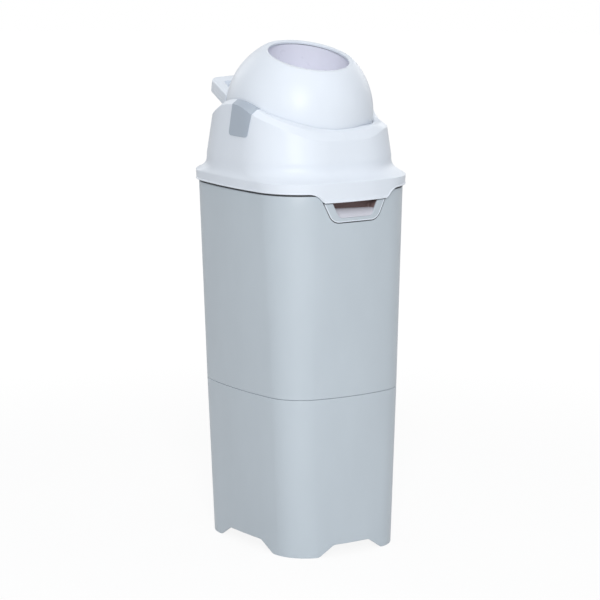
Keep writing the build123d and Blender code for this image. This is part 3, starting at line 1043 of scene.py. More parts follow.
    def notch(self, grow: float, bottom: float, top: float, radius: float) -> list[Plan]:
        """Outline of the notch in X and Z.

        Args:
            grow: how much larger than the notch it is at its sides.
            bottom: its lower edge.
            top: its upper edge.
            radius: radius of its lower corners.

        Returns:
            The points.
        """
        low = self.notch_half + (bottom - self.notch_bottom) * self.notch_slope + grow * 1.12
        high = self.notch_half + (top - self.notch_bottom) * self.notch_slope + grow * 1.12
        corners = [
            (-low, bottom, radius),
            (low, bottom, radius),
            (high, top, 0.0),
            (-high, top, 0.0),
        ]
        return rounded(corners, 12)

    def upper_section(self) -> bpy.types.Object:
        """Draw the upper section's wall round from its spigot to the rim and back, and cut the notch.

        Returns:
            The piece.
        """
        wall, inner = self.wall, self.wall + self.spigot_gap + self.spigot_wall
        step_in = wall + self.spigot_gap
        foot = self.seam_z - self.lap
        rings = [
            self.form(foot).grown(-inner).ring(foot),
            self.form(foot).grown(-step_in).ring(foot),
            self.form(self.seam_z).grown(-step_in).ring(self.seam_z),
        ]
        for inset, lift in ((0.8, 0.0), (0.35, 0.08), (0.1, 0.3), (0.0, 0.8)):
            z = self.seam_z + lift
            rings.append(self.form(z).grown(-inset).ring(z))
        low, high = self.seam_z + 1.5, self.shoulder_z - 0.6
        for step in range(17):
            z = low + (high - low) * step / 16.0
            rings.append(self.form(z).ring(z))
        shoulder, rim_in = self.shoulder, self.wall + self.shoulder
        for inset, lift in ((0.2, -0.15), (0.6, 0.0), (shoulder, 0.0)):
            z = self.shoulder_z + lift
            rings.append(self.form(z).grown(-inset).ring(z))
        for inset, drop in ((0.0, 0.8), (0.25, 0.3), (0.9, 0.0), (2.1, 0.0), (3.0, 0.8)):
            z = self.rim_z - drop
            rings.append(self.form(z).grown(-shoulder - inset).ring(z))
        tab = self.tab_bottom
        turns = ((tab + 5.0, rim_in), (tab, wall), (self.seam_z + 8.0, wall), (self.seam_z + 4.0, inner))
        for z, inset in turns:
            rings.append(self.form(z).grown(-inset).ring(z))
        piece = drawn_wall("tub_upper_moulding", rings)
        opening = self.notch(0.0, self.notch_bottom, self.rim_z + 6.0, self.notch_round)
        near = AXIS_Y + self.rim.front - 20.0
        carve(piece, flat_tool("notch_tool", opening, near, near + 60.0))
        return piece

    def scoop_ring(
        self, grow: float, bottom: float, radius: float, depth: float, hump: float = 0.0
    ) -> Ring:
        """A ring of the finger scoop: the notch's outline, laid in the tub's front face or behind it.

        Args:
            grow: how much larger than the notch it is.
            bottom: its lower edge.
            radius: radius of its lower corners.
            depth: how far behind the tub's face it lies.
            hump: how far its lower edge swells up, right of the middle.

        Returns:
            The ring.
        """
        ring = []
        top = self.tab_bottom - self.scoop_gap
        for x, z in self.notch(grow, bottom, top, radius):
            wave = math.exp(-(((x - 7.0) / 8.0) ** 2)) - 0.05 * max(x - 11.0, 0.0)
            swell = hump * wave if z < bottom + 3.0 else 0.0
            y = self.form(z).front_at(x) + AXIS_Y
            ring.append((x, y + depth, z + swell))
        return ring

    def trim_roof(self, piece: bpy.types.Object) -> None:
        """Take off what closes a scoop piece under the tab, and cap what is left open."""
        roof = self.tab_bottom - self.scoop_gap - 0.05
        with editing(piece):
            select_where(piece, lambda middle: middle.z > roof)
            bpy.ops.mesh.delete(type="FACE")
            bpy.ops.mesh.select_all(action="SELECT")
            bpy.ops.mesh.fill_holes(sides=0)
            bpy.ops.mesh.select_all(action="SELECT")
            bpy.ops.mesh.normals_make_consistent(inside=False)

    def scoop(self) -> bpy.types.Object:
        """Draw the finger scoop's frame: a flange behind the tub's wall and a flush face before it.

        Returns:
            The piece.
        """
        gap, bar, bottom = self.scoop_gap, self.scoop_bar, self.notch_bottom
        back, round_r = self.wall + 0.05, self.notch_round
        frame = [
            self.scoop_ring(self.flange, bottom - self.flange, round_r + self.flange, back + 2.0),
            self.scoop_ring(self.flange, bottom - self.flange, round_r + self.flange, back),
            self.scoop_ring(-gap, bottom + gap, round_r - gap, back),
        ]
        for inset, depth in ((0.0, 0.9), (0.1, 0.35), (0.4, 0.06), (0.9, 0.0)):
            edge = gap + inset
            frame.append(self.scoop_ring(-edge, bottom + edge, round_r - edge, depth))
        lip = self.scoop_lip
        for inset, depth in ((-1.4, 0.0), (-0.6, 0.12), (-0.15, 0.45), (0.0, 1.1)):
            edge = bar + inset
            frame.append(self.scoop_ring(-edge, lip + inset, 8.0 - inset, depth))
        frame.append(self.scoop_ring(-bar, lip, 8.0, self.scoop_bar_depth))
        frame.append(self.scoop_ring(-bar + 2.0, lip - 2.0, 10.0, back + 2.0))
        piece = drawn_wall("finger_scoop_frame", frame)
        self.trim_roof(piece)
        return piece

    def scoop_highlight_bead(self) -> bpy.types.Object:
        """Draw the white bead round the scoop's outer edge: a white painted highlight along the frame's edge.

        Returns:
            The piece.
        """
        start, width, proud = self.scoop_gap - 0.1, self.bead, self.bead_proud
        rings = []
        for step in range(13):
            turn = math.pi * step / 12.0
            edge = start + width * (1.0 - math.cos(turn)) / 2.0
            rings.append(
                self.scoop_ring(
                    -edge,
                    self.notch_bottom + edge,
                    self.notch_round - edge,
                    0.5 - (0.5 + proud) * math.sin(turn),
                )
            )
        edge = start + width
        for inset in (edge, start):
            rings.append(
                self.scoop_ring(-inset, self.notch_bottom + inset, self.notch_round - inset, 1.4)
            )
        piece = drawn_wall("finger_scoop_highlight_bead", rings)
        self.trim_roof(piece)
        return piece

    def scoop_shade_strip(self) -> bpy.types.Object:
        """Draw the dark rubber strip that closes the gap round the scoop, painted shade for the shadow line in
        the gap.

        Returns:
            The piece.
        """
        low, high = 0.05, self.scoop_gap - 0.05
        back = self.wall - 0.1
        corners = ((low, back), (low, 1.0), (low + 0.2, 0.8), (high - 0.2, 0.8), (high, 1.0), (high, back))
        rings = []
        for edge, depth in corners:
            bottom = self.notch_bottom + edge
            rings.append(self.scoop_ring(-edge, bottom, self.notch_round - edge, depth))
        piece = drawn_wall("finger_scoop_shade_strip", rings)
        self.trim_roof(piece)
        return piece

    def rim_shade_strip(self) -> bpy.types.Object:
        """Draw the dark rubber strip on the tub's shoulder, painted shadow under the head's band.

        Returns:
            The piece.
        """
        low, high = self.shoulder_z + 0.1, self.shoulder_z + 4.0
        inner, outer = self.shoulder - 0.05, self.shoulder - 1.2
        corners = ((inner, low), (outer, low), (outer, high - 0.4), (outer + 0.4, high), (inner, high))
        rings = [self.form(z).grown(-inset).ring(z) for inset, z in corners]
        piece = drawn_wall("rim_shade_strip", rings)
        opening = self.notch(0.0, self.notch_bottom, self.rim_z + 6.0, self.notch_round)
        near = AXIS_Y + self.rim.front - 20.0
        carve(piece, flat_tool("shade_strip_tool", opening, near, near + 60.0))
        return piece

    def scoop_bowl(self) -> bpy.types.Object:
        """Draw the bowl under the slot: up from the lip, then back to a wavy edge.

        Returns:
            The piece.
        """
        bar, lip, slot = self.scoop_bar, self.scoop_lip, self.scoop_slot
        start = 0.5
        rings = []
        for step in range(13):
            turn = math.pi / 2.0 * step / 12.0
            depth = start + (self.scoop_depth - 5.0 - start) * (1.0 - math.cos(turn)) ** 0.9
            rise = (slot - lip) * math.sin(turn) ** 1.2
            hump = self.scoop_hump * (step / 12.0) ** 2
            radius = 8.0 - 3.0 * step / 12.0
            rings.append(self.scoop_ring(-bar - 0.05, lip + 0.05 + rise, radius, depth, hump))
        piece = drawn_wall("finger_scoop_bowl", rings, Join.OPEN)
        crest = slot + self.scoop_hump + 0.5
        end = self.notch_half + (slot - self.notch_bottom) * self.notch_slope - bar * 1.12 - 4.0
        with editing(piece):
            select_where(
                piece, lambda middle: middle.z > (crest if abs(middle.x) < end else slot - 2.5)
            )
            bpy.ops.mesh.delete(type="FACE")
        thicken(piece, 1.4)
        return piece

    def scoop_shade_pocket(self) -> bpy.types.Object:
        """Draw the dark brown pocket behind the slot, painted shade for the slot's shadowed inside: a shallow
        box, open to the front.

        Returns:
            The piece.
        """
        edge = self.scoop_bar - 2.2
        near, deep = self.wall + 2.2, self.scoop_depth
        low = self.scoop_lip - 2.2
        rings = [self.scoop_ring(-edge, low, 9.0, depth) for depth in (near, deep - 1.5)]
        rings.append(self.scoop_ring(-edge - 1.5, low + 1.5, 7.5, deep))
        piece = drawn_wall("finger_scoop_shade_pocket", rings, Join.CAPPED)
        front = AXIS_Y + self.form(low).front_at(0.0) + near + 2.0
        with editing(piece):
            select_where(piece, lambda middle: middle.y < front and middle.z > low + 1.0)
            bpy.ops.mesh.delete(type="FACE")
        thicken(piece, 1.2)
        return piece

    def build(self) -> None:
        """Build and dress the tub."""
        for piece, node in (
            (self.lower_section(), "tub_lower"),
            (self.upper_section(), "tub_upper"),
            (self.scoop(), "finger_scoop"),
            (self.scoop_bowl(), None),
            (self.scoop_highlight_bead(), None),
            (self.scoop_shade_pocket(), None),
            (self.scoop_shade_strip(), None),
            (self.rim_shade_strip(), None),
        ):
            smooth(piece)
            self.paint.coat(piece, self.finishes.get(piece.name, TUB_GREY))
            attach(piece, Part.BIN.value)
            if node is not None:
                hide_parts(node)
            LOG.info("tub: %s, %d faces", piece.name, len(piece.data.polygons))


# ---- head ------------------------------------------------------------------------------------------


@dataclass
class Head:
    """The white head: rim band with a front tab, concave flare, and a collar with a tent-shaped top."""

    paint: Paintshop
    tub: Tub
    band_out: float = 4.0
    band_bottom: float = 523.0
    band_top: float = 537.5
    band_bead: float = 0.8
    tab_round: float = 24.0
    tab_spread: float = 5.0
    wall: float = 2.7
    top_wall: float = 3.3
    flare_height: float = 24.5
    flare_power: float = 3.5
    collar_low: Outline = Outline(122.0, -124.0, 125.0, 0.6, 96.5)
    collar_high: Outline = Outline(114.0, -113.0, 114.0, 0.6, 93.0)
    collar_top: float = 650.0
    left_top: tuple[Plan, ...] = ((0.0, 645.5), (28.0, 641.4), (54.5, 630.6), (86.0, 618.0))
    right_top: tuple[Plan, ...] = (
        (0.0, 644.0),
        (15.0, 638.0),
        (26.0, 622.0),
        (37.0, 613.5),
        (53.0, 610.0),
        (83.0, 609.0),
    )
    low_top: tuple[Plan, ...] = ((105.0, 607.3), (120.0, 597.8), (150.0, 590.5))
    bevel_in: float = 8.5
    bevel_down: float = 6.3
    drum_z: float = 624.0
    drum_clear: float = 107.4
    shelf_z: float = 586.0
    shelf: float = 2.6
    ledge_z: float = 535.0
    ledge: float = 2.2
    boss_half: float = 17.0
    boss_in: float = 107.2
    boss_height: float = 14.0
    bush_r: float = 11.5
    hinge: tuple[float, float, float] = (50.0, 143.8, 511.5)
    knuckle_r: float = 5.2
    knuckle_half: float = 8.0
    web_y: float = 133.4
    pin_r: float = 2.06
    tent_lines: dict[Side, list[Plan]] = field(default_factory=dict)

    def __post_init__(self) -> None:
        """Work out the lines of the collar's top, seen from the left and from the right."""
        self.tent_lines[Side.LEFT] = flowing(self.left_top + self.low_top, 0.0, -0.2)
        self.tent_lines[Side.RIGHT] = flowing(self.right_top + self.low_top, 0.0, -0.2)

    def top_at(self, x: float, y: float) -> float:
        """Height of the collar's top, before its bevel, at a place."""
        side = Side.LEFT if x < 0.0 else Side.RIGHT
        return height_along(self.tent_lines[side], abs(y))

    @property
    def band(self) -> Outline:
        """The rim band's outline."""
        rim, out = self.tub.rim, self.band_out
        return Outline(
            rim.half_w + out, rim.front - out, rim.rear + out, rim.crown, rim.corner + out
        )

    def flare(self, share: float) -> Outline:
        """The flare's outline, from the band (0) to the collar (1)."""
        return self.collar_low.toward(self.band, (1.0 - share) ** self.flare_power)

    def collar(self, z: float) -> Outline:
        """The collar's outline at a height."""
        foot = self.band_top + self.flare_height
        return self.collar_low.toward(self.collar_high, (z - foot) / (self.collar_top - foot))

    def tab_line(self) -> list[Plan]:
        """Lower edge of the band at the front: down to the tab, in one eased curve."""
        tub = self.tub
        bottom = tub.tab_bottom
        half_low = tub.notch_half + (bottom - tub.notch_bottom) * tub.notch_slope
        half_high = tub.notch_half + (self.band_bottom - tub.notch_bottom) * tub.notch_slope
        corners = [
            (0.0, bottom, 0.0),
            (half_low, bottom, 1.6),
            (half_high + self.tab_spread, self.band_bottom, self.tab_round),
            (half_high + 60.0, self.band_bottom, 0.0),
        ]
        return rounded(corners, 16, closed=False)

    def band_ring(self, inset: float, lift: float) -> Ring:
        """A ring along the band's lower edge and the tab's.

        Args:
            inset: how far in from the band's face.
            lift: height above the edge.

        Returns:
            The ring.
        """
        line = self.tab_line()

        def rise(x: float, y: float) -> float:
            """Height of the edge at a place."""
            edge = height_along(line, abs(x)) if y < 0.0 else self.band_bottom
            return edge + lift

        outer = self.band.plan()
        inner = self.band.grown(-inset).plan()
        return [
            (ix, iy + AXIS_Y, rise(ox, oy)) for (ox, oy), (ix, iy) in zip(outer, inner)
        ]

    def between_rings(self, low: Ring, high: Ring, shares: Sequence[float]) -> list[Ring]:
        """Rings part of the way from one ring to another.

        Args:
            low: ring at a share of 0.
            high: ring at a share of 1.
            shares: the shares wanted.

        Returns:
            The rings.
        """
        return [
            [
                tuple(a + (b - a) * share for a, b in zip(first, last))
                for first, last in zip(low, high)
            ]
            for share in shares
        ]

    def crest(self, grow: float) -> list[Plan]:
        """The collar's face at the height of its top, all round.

        Args:
            grow: how far out from the outer face it lies.

        Returns:
            The places, from the drum's axis.
        """
        foot = self.band_top + self.flare_height
        low = self.collar(foot).grown(grow).plan()
        high = self.collar(self.collar_top).grown(grow).plan()
        places = []
        for (lx, ly), (hx, hy) in zip(low, high):
            x, y = lx, ly
            for _ in range(4):
                share = (self.top_at(x, y) - foot) / (self.collar_top - foot)
                x, y = lx + (hx - lx) * share, ly + (hy - ly) * share
            places.append((x, y))
        return places

    def top_ring(self, inset: float, drop: float, grow: float = 0.0, clear: float = 0.0) -> Ring:
        """A ring near the collar's top edge, which follows the tent but never reaches the ball.

        Args:
            inset: how far in from the collar's face.
            drop: how far under the top.
            grow: how far out from the outer face the whole ring lies.
            clear: how far outside the mouth's edge it stays.

        Returns:
            The ring.
        """
        ring = []
        for (x, y), (mouth_x, mouth_y) in zip(self.crest(grow), self.mouth()):
            reach = math.hypot(x, y)
            least = (math.hypot(mouth_x, mouth_y) + clear) / reach
            share = max(1.0 - inset / reach, min(least, 1.0))
            used = (1.0 - share) * reach
            extra = self.bevel_down * (inset - used) / self.bevel_in if used < inset else 0.0
            x, y = x * share, y * share
            extra = min(extra, max(self.bevel_down * (1.0 - used / self.bevel_in), 0.0))
            ring.append((x, y + AXIS_Y, self.top_at(x, y) - drop - extra))
        return ring

    def mouth(self) -> list[Plan]:
        """The edge of the hole for the ball, at the height of the collar's top.

        Returns:
            The places, from the drum's axis.
        """
        places = []
        for x, y in self.crest(0.0):
            reach = math.hypot(x, y)
            ux, uy = x / reach, y / reach
            clear = self.drum_clear
            for _ in range(8):
                z = self.top_at(ux * clear, uy * clear)
                clear = math.sqrt(self.drum_clear**2 - (z - self.drum_z) ** 2)
            places.append((ux * clear, uy * clear))
        return places

    def mouth_ring(self, wider: float, drop: float) -> Ring:
        """A ring along the collar's inner edge, beside the ball.

        Args:
            wider: how much wider than the ball's clearance.
            drop: how far under the top.

        Returns:
            The ring.
        """
        ring = []
        for (x, y), (wall_x, wall_y) in zip(self.mouth(), self.crest(0.0)):
            reach = math.hypot(x, y)
            top = self.top_at(x, y)
            inset = math.hypot(wall_x, wall_y) - reach
            top -= max(self.bevel_down * (1.0 - inset / self.bevel_in), 0.0)
            z = top - drop
            share = (math.sqrt(self.drum_clear**2 - (z - self.drum_z) ** 2) + wider) / reach
            ring.append((x * share, y * share + AXIS_Y, z))
        return ring

    def skin(self, grow: float, top: float, lift: float) -> list[Ring]:
        """Rings of one face of the shell, from just above the lower edge up to the collar's edge.

        Args:
            grow: distance from the outer face, negative inwards.
            top: distance under the tent where the last ring lies.
            lift: distance above the lower edge where the first ring lies.

        Returns:
            The rings.
        """
        band = self.band_ring(-grow, lift)
        crest = self.band.grown(grow).ring(self.band_top - 0.7)
        rings = [band]
        if grow == 0.0:
            for inset, rise in ((0.0, 1.4), (0.1, 1.6), (self.band_bead, 2.7)):
                rings.append(self.band_ring(inset, rise))
        rings += self.between_rings(rings[-1], crest, [i / 6.0 for i in range(1, 7)])
        for step in range(19):
            share = step / 18.0
            z = self.band_top + self.flare_height * share
            if step == 0:
                rings.append(self.flare(0.012).grown(grow).ring(z - 0.1))
            else:
                rings.append(self.flare(share).grown(grow).ring(z))
        foot = rings[-1]
        edge = self.top_ring(0.0, top, grow)
        shares = [i / 14.0 for i in range(1, 15)]
        return rings + self.between_rings(foot, edge, shares)

    def shell(self) -> bpy.types.Object:
        """Draw the shell's wall: up the outside, over the bevelled edge, down beside the ball and back.

        Returns:
            The piece.
        """
        wall, slope = self.wall, self.bevel_down / self.bevel_in
        rings = [self.band_ring(wall, 0.5), self.band_ring(wall - 0.4, 0.0)]
        rings += [self.band_ring(inset, lift) for inset, lift in ((1.0, 0.0), (0.45, 0.12))]
        rings += [self.band_ring(0.12, 0.45)]
        rings += self.skin(0.0, self.bevel_down + 1.1, 1.0)
        for inset, drop in ((0.07, 0.6), (0.3, 0.22), (0.7, 0.03)):
            rings.append(self.top_ring(inset, self.bevel_down - slope * inset + drop, 0.0, 1.2))
        for inset in (1.2, 2.4, 4.0, 5.6, 6.8):
            rings.append(self.top_ring(inset, self.bevel_down - slope * inset, 0.0, 1.1))
        rings.append(self.top_ring(7.6, slope * 0.9 + 0.04, 0.0, 1.0))
        rings.append(self.top_ring(8.4, 0.26, 0.0, 0.95))
        rings.append(self.top_ring(9.2, 0.06, 0.0, 0.9))
        flat = rings[-1]
        edge = self.mouth_ring(0.8, 0.0)
        rings += self.between_rings(flat, edge, (0.33, 0.67, 1.0))
        rings.append(self.mouth_ring(0.22, 0.24))
        rings.append(self.mouth_ring(0.0, 0.8))
        rings.append(self.mouth_ring(0.0, self.top_wall))
        inner = list(reversed(self.skin(-wall, self.top_wall + 0.76 * self.bevel_down, 0.5)))
        return drawn_wall("head_shell_moulding", rings + inner[:-1])

    def ledge_ring(self) -> bpy.types.Object:
        """The rim inside the band that rests on the gasket.

        Returns:
            The piece.
        """
        low, high = self.ledge_z, self.ledge_z + self.ledge
        rings = []
        for inset, z in ((1.2, low), (9.6, low), (10.0, low + 0.4), (10.0, high - 0.4), (9.6, high), (1.2, high)):
            rings.append(self.band.grown(-inset).ring(z))
        return drawn_wall("head_ledge", rings)

    def shelf_ring(self) -> bpy.types.Object:
        """The shelf that carries the drum seal, open on the left and right under the bearings.

        Returns:
            The piece.
        """
        low, high = self.shelf_z, self.shelf_z + self.shelf
        outer = self.collar(low).grown(-self.wall / 2.0)
        reach = math.sqrt(self.drum_clear**2 - (high - self.drum_z) ** 2) + 0.2
        inner = []
        for x, y in outer.plan():
            outward = Vector((x, y)).normalized() * reach
            inner.append((outward.x, outward.y + AXIS_Y))
        rings = [
            outer.ring(low),
            outer.ring(high),
            [(x, y, high) for x, y in inner],
            [(x, y, low) for x, y in inner],
        ]
        piece = drawn_wall("head_shelf", rings)
        half = self.boss_half + 4.0
        gap = [(-half, low - 5.0), (half, low - 5.0), (half, high + 5.0), (-half, high + 5.0)]
        tool = flat_tool("shelf_tool", gap, -200.0, 200.0)
        tool.data.transform(Matrix.Rotation(math.pi / 2.0, 4, "Z"))
        tool.data.transform(Matrix.Translation((0.0, AXIS_Y * MM, 0.0)))
        carve(piece, tool)
        return piece

    def boss(self, side: Side) -> bpy.types.Object:
        """One bearing boss: a block above the axle, bored for the bush and hollowed for the ball.

        Args:
            side: which end of the axle.

        Returns:
            The piece.
        """
        outer = self.collar(self.drum_z + self.boss_height).half_w - self.wall / 2.0
        block = [
            (-self.boss_half, 0.0, 0.0),
            (self.boss_half, 0.0, 0.0),
            (self.boss_half, self.boss_height, 1.5),
            (-self.boss_half, self.boss_height, 1.5),
        ]
        outline = [(y, z + self.drum_z) for y, z in rounded(block, 4)]
        near, far = self.boss_in, outer
        piece = flat_tool(f"head_boss_{side.name.lower()}", outline, near, far)
        turn = Matrix.Rotation(-side.value * math.pi / 2.0, 4, "Z")
        piece.data.transform(turn)
        piece.data.transform(Matrix.Translation((0.0, AXIS_Y * MM, 0.0)))
        ring = [(self.bush_r * math.cos(math.tau * i / 64), self.drum_z + self.bush_r * math.sin(math.tau * i / 64)) for i in range(64)]
        bore = flat_tool("boss_tool", ring, 90.0, 130.0)
        bore.data.transform(turn)
        bore.data.transform(Matrix.Translation((0.0, AXIS_Y * MM, 0.0)))
        carve(piece, bore)
        soften(piece, 0.4)
        return piece

    def knuckle(self, side: Side) -> bpy.types.Object:
        """One hinge knuckle: a barrel that hangs by a web from the rear of the band.

        Args:
            side: which knuckle.

        Returns:
            The piece.
        """
        x, y, z = self.hinge
        top = self.band_bottom + 4.0
        barrel = arc((y, z), self.knuckle_r, 90.0, -90.0, 36)
        web = [(self.web_y, z), (self.web_y, top), (y, top)]
        outline = [*barrel, *arc((y, z), self.knuckle_r, -90.0, -180.0, 16)[1:], *web]
        mid = side.value * x
        rings = [
            [(mid + offset, py + AXIS_Y, pz) for py, pz in outline]
            for offset in (-self.knuckle_half, self.knuckle_half)
        ]
        piece = drawn_wall(f"head_knuckle_{side.name.lower()}", rings, Join.CAPPED)
        hole = arc((y, z), self.pin_r, 0.0, 345.0, 23)
        bore = drawn_wall(
            "pin_tool",
            [[(mid + offset, py + AXIS_Y, pz) for py, pz in hole] for offset in (-20.0, 20.0)],
            Join.CAPPED,
        )
        carve(piece, bore)
        soften(piece, 0.4)
        return piece

    def build(self) -> None:
        """Build and dress the head."""
        shell = self.shell()
        pieces = [shell, self.ledge_ring(), self.shelf_ring()]
        for side in Side:
            pieces += [self.boss(side), self.knuckle(side)]
        for piece in pieces:
            smooth(piece)
            self.paint.coat(piece, HEAD_WHITE)
            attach(piece, Part.HEAD.value)
            LOG.info("head: %s, %d faces", piece.name, len(piece.data.polygons))
        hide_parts("head_shell")


def flowing(places: Sequence[Plan], first: float, last: float, steps: int = 12) -> list[Plan]:
    """A smooth line through places that run from left to right.

    Args:
        places: the places.
        first: slope at the first one.
        last: slope at the last one.
        steps: steps from one place to the next.

    Returns:
        The points of the line.
    """
    slopes = [first]
    for (x0, z0), (x1, z1), (x2, z2) in zip(places, places[1:], places[2:]):
        before, after = (z1 - z0) / (x1 - x0), (z2 - z1) / (x2 - x1)
        slopes.append((before * (x2 - x1) + after * (x1 - x0)) / (x2 - x0))
    slopes.append(last)
    points = []
    for index, ((x0, z0), (x1, z1)) in enumerate(zip(places, places[1:])):
        run = x1 - x0
        for step in range(steps):
            t = step / steps
            z = z0 * (1.0 + 2.0 * t) * (1.0 - t) ** 2 + z1 * t * t * (3.0 - 2.0 * t)
            z += slopes[index] * run * t * (1.0 - t) ** 2 + slopes[index + 1] * run * t * t * (t - 1.0)
            points.append((x0 + run * t, z))
    return [*points, places[-1]]


# ---- drum ------------------------------------------------------------------------------------------


@dataclass
class Drum:
    """The ball-shaped drum with its cylinder, handle and piston."""

    paint: Paintshop
    centre_z: float = 624.0
    tilt: float = 16.0
    radius: float = 106.1
    wall: float = 2.6
    end: float = 103.9
    mouth_h: float = 83.2
    mouth_round: float = 7.0
    mouth_r: float = 58.4
    lip_round: float = 1.5
    bore_r: float = 60.6
    tube_wall: float = 2.0
    tube_half: float = 79.5
    shade_ring_height: float = 1.3
    handle_tilt: float = 11.5
    handle_above: float = 12.0
    handle_below: float = 7.0
    handle_root: Plan = (91.5, 55.0)
    handle_tip: Plan = (65.0, 139.5)
    handle_reach: float = 144.0
    handle_corner: float = 22.0
    handle_edge: float = 2.5
    slot_root: Plan = (67.0, 85.0)
    slot_tip: Plan = (54.5, 119.0)
    piston_height: float = 24.0
    piston_gap: float = 0.6
    piston_wall: float = 2.2

    def lean(self, over: bool = False) -> Matrix:
        """Where a piece goes that is modelled upright about the drum's own centre.

        Args:
            over: turn it upside down first.

        Returns:
            The placing, in metres.
        """
        place = Matrix.Translation((0.0, AXIS_Y * MM, self.centre_z * MM))
        turn = Matrix.Rotation(math.radians(self.tilt), 4, "X")
        flip = Matrix.Rotation(math.pi if over else 0.0, 4, "X")
        return place @ turn @ flip

    def half(self, name: str, over: bool) -> bpy.types.Object:
        """One half of the ball: turned from its profile and cut flat at the axle ends.

        Args:
            name: name of the piece.
            over: whether it is the lower half.

        Returns:
            The piece.
        """
        rim_r = math.sqrt(self.radius**2 - self.mouth_h**2)
        inner = self.radius - self.wall
        tube_r = self.bore_r + self.tube_wall
        roll = self.roll_points(rim_r)
        steps = 40
        start = math.degrees(math.atan2(roll[0][1], roll[0][0]))
        outer = arc((0.0, 0.0), self.radius, 0.35, start, steps)
        lip = arc((self.mouth_r + self.lip_round, self.mouth_h - self.lip_round), self.lip_round, 90.0, 180.0, 6)
        seat = [(self.mouth_r, self.tube_half + 0.15), (tube_r + 0.1, self.tube_half + 0.15)]
        neck_r = tube_r + 2.4
        seat += [(tube_r + 0.1, self.tube_half - 12.0), (neck_r, self.tube_half - 12.0)]
        neck_h = math.sqrt(inner**2 - neck_r**2)
        back = math.degrees(math.atan2(neck_h, neck_r))
        inside = arc((0.0, 0.0), inner, back, 0.0, 24)
        profile = [(self.radius - 0.35, 0.12), *outer, *roll[1:], *lip, *seat, *inside]
        piece = turned(name, profile, 192)
        with editing(piece):
            for side in Side:
                bpy.ops.mesh.select_all(action="SELECT")
                bpy.ops.mesh.bisect(
                    plane_co=(side.value * self.end * MM, 0.0, 0.0),
                    plane_no=(side.value, 0.0, 0.0),
                    use_fill=True,
                    clear_outer=True,
                    clear_inner=False,
                    threshold=0.000001,
                )
        piece.data.transform(self.lean(over))
        return piece

    def roll_points(self, rim_r: float) -> list[Plan]:
        """The ball's edge rolling over into the flat round the mouth.

        Args:
            rim_r: radius at which the bare ball would meet the flat.

        Returns:
            The points, from the ball to the flat.
        """
        radius = self.mouth_round
        z = self.mouth_h - radius
        r = math.sqrt((self.radius - radius) ** 2 - z * z)
        start = math.degrees(math.atan2(z, r))
        return arc((r, z), radius, start, 90.0, 10)

    def cylinder(self) -> bpy.types.Object:
        """The tube through the ball.

        Returns:
            The piece.
        """
        low, high = self.bore_r, self.bore_r + self.tube_wall
        end = self.tube_half - self.shade_ring_height
        profile = [
            (low + 0.4, end),
            (high - 0.3, end),
            (high, end - 0.3),
            (high, -end + 0.3),
            (high - 0.3, -end),
            (low + 0.4, -end),
            (low, -end + 0.4),
            (low, -20.0),
            (low, 20.0),
            (low, end - 0.4),
        ]
        piece = turned("drum_cylinder_tube", profile, 160)
        piece.data.transform(self.lean())
        return piece

    def mouth_shade_ring(self, name: str, over: bool) -> bpy.types.Object:
        """The dark rubber ring between the cylinder's end and the lip of one half: painted shade for the shadow
        line under the lip.

        Args:
            name: name of the piece.
            over: whether it is in the lower half.

        Returns:
            The piece.
        """
        low, high = self.bore_r + 0.1, self.bore_r + self.tube_wall
        top, foot = self.tube_half + 0.1, self.tube_half - self.shade_ring_height + 0.05
        mid = (top + foot) / 2.0
        profile = [(low + 0.4, top), (high, top), (high, foot), (low + 0.4, foot), (low, mid)]
        piece = turned(name, profile, 160)
        piece.data.transform(self.lean(over))
        return piece

    def handle_ring(self, inset: float, z: float) -> Ring:
        """The handle's outer outline at a height over its parting plane.

        Args:
            inset: how far in from the full outline.
            z: the height.

        Returns:
            The ring.
        """
        (root_x, root_y), (tip_x, tip_y) = self.handle_root, self.handle_tip
        outline = [(-root_x + inset, root_y), (root_x - inset, root_y)]
        corner = self.handle_corner
        right = rounded(
            [
                (root_x, root_y, 0.0),
                (tip_x, tip_y, corner),
                (0.0, self.handle_reach + 1.2, 0.0),
            ],
            16,
            closed=False,
        )[1:-1]
        bow = []
        for x, y in right:
            bow.append((x, y))
        last_x = bow[-1][0]
        for step in range(1, 12):
            x = last_x * (1.0 - step / 12.0)
            rise = self.handle_reach - (self.handle_reach - bow[16][1]) * (x / last_x) ** 2
            bow.append((x, rise))
        bow.append((0.0, self.handle_reach))
        shaped = []
        for index, (x, y) in enumerate(bow):
            before = bow[max(index - 1, 0)]
            after = bow[min(index + 1, len(bow) - 1)]
            if index == len(bow) - 1:
                normal = Vector((0.0, 1.0))
            else:
                along = Vector((after[0] - before[0], after[1] - before[1])).normalized()
                normal = Vector((along.y, -along.x))
            shaped.append((x - normal.x * inset, y - normal.y * inset))
        full = outline[1:] + shaped + [(-x, y) for x, y in reversed(shaped[:-1])] + outline[:1]
        return [(x, y, z) for x, y in full]

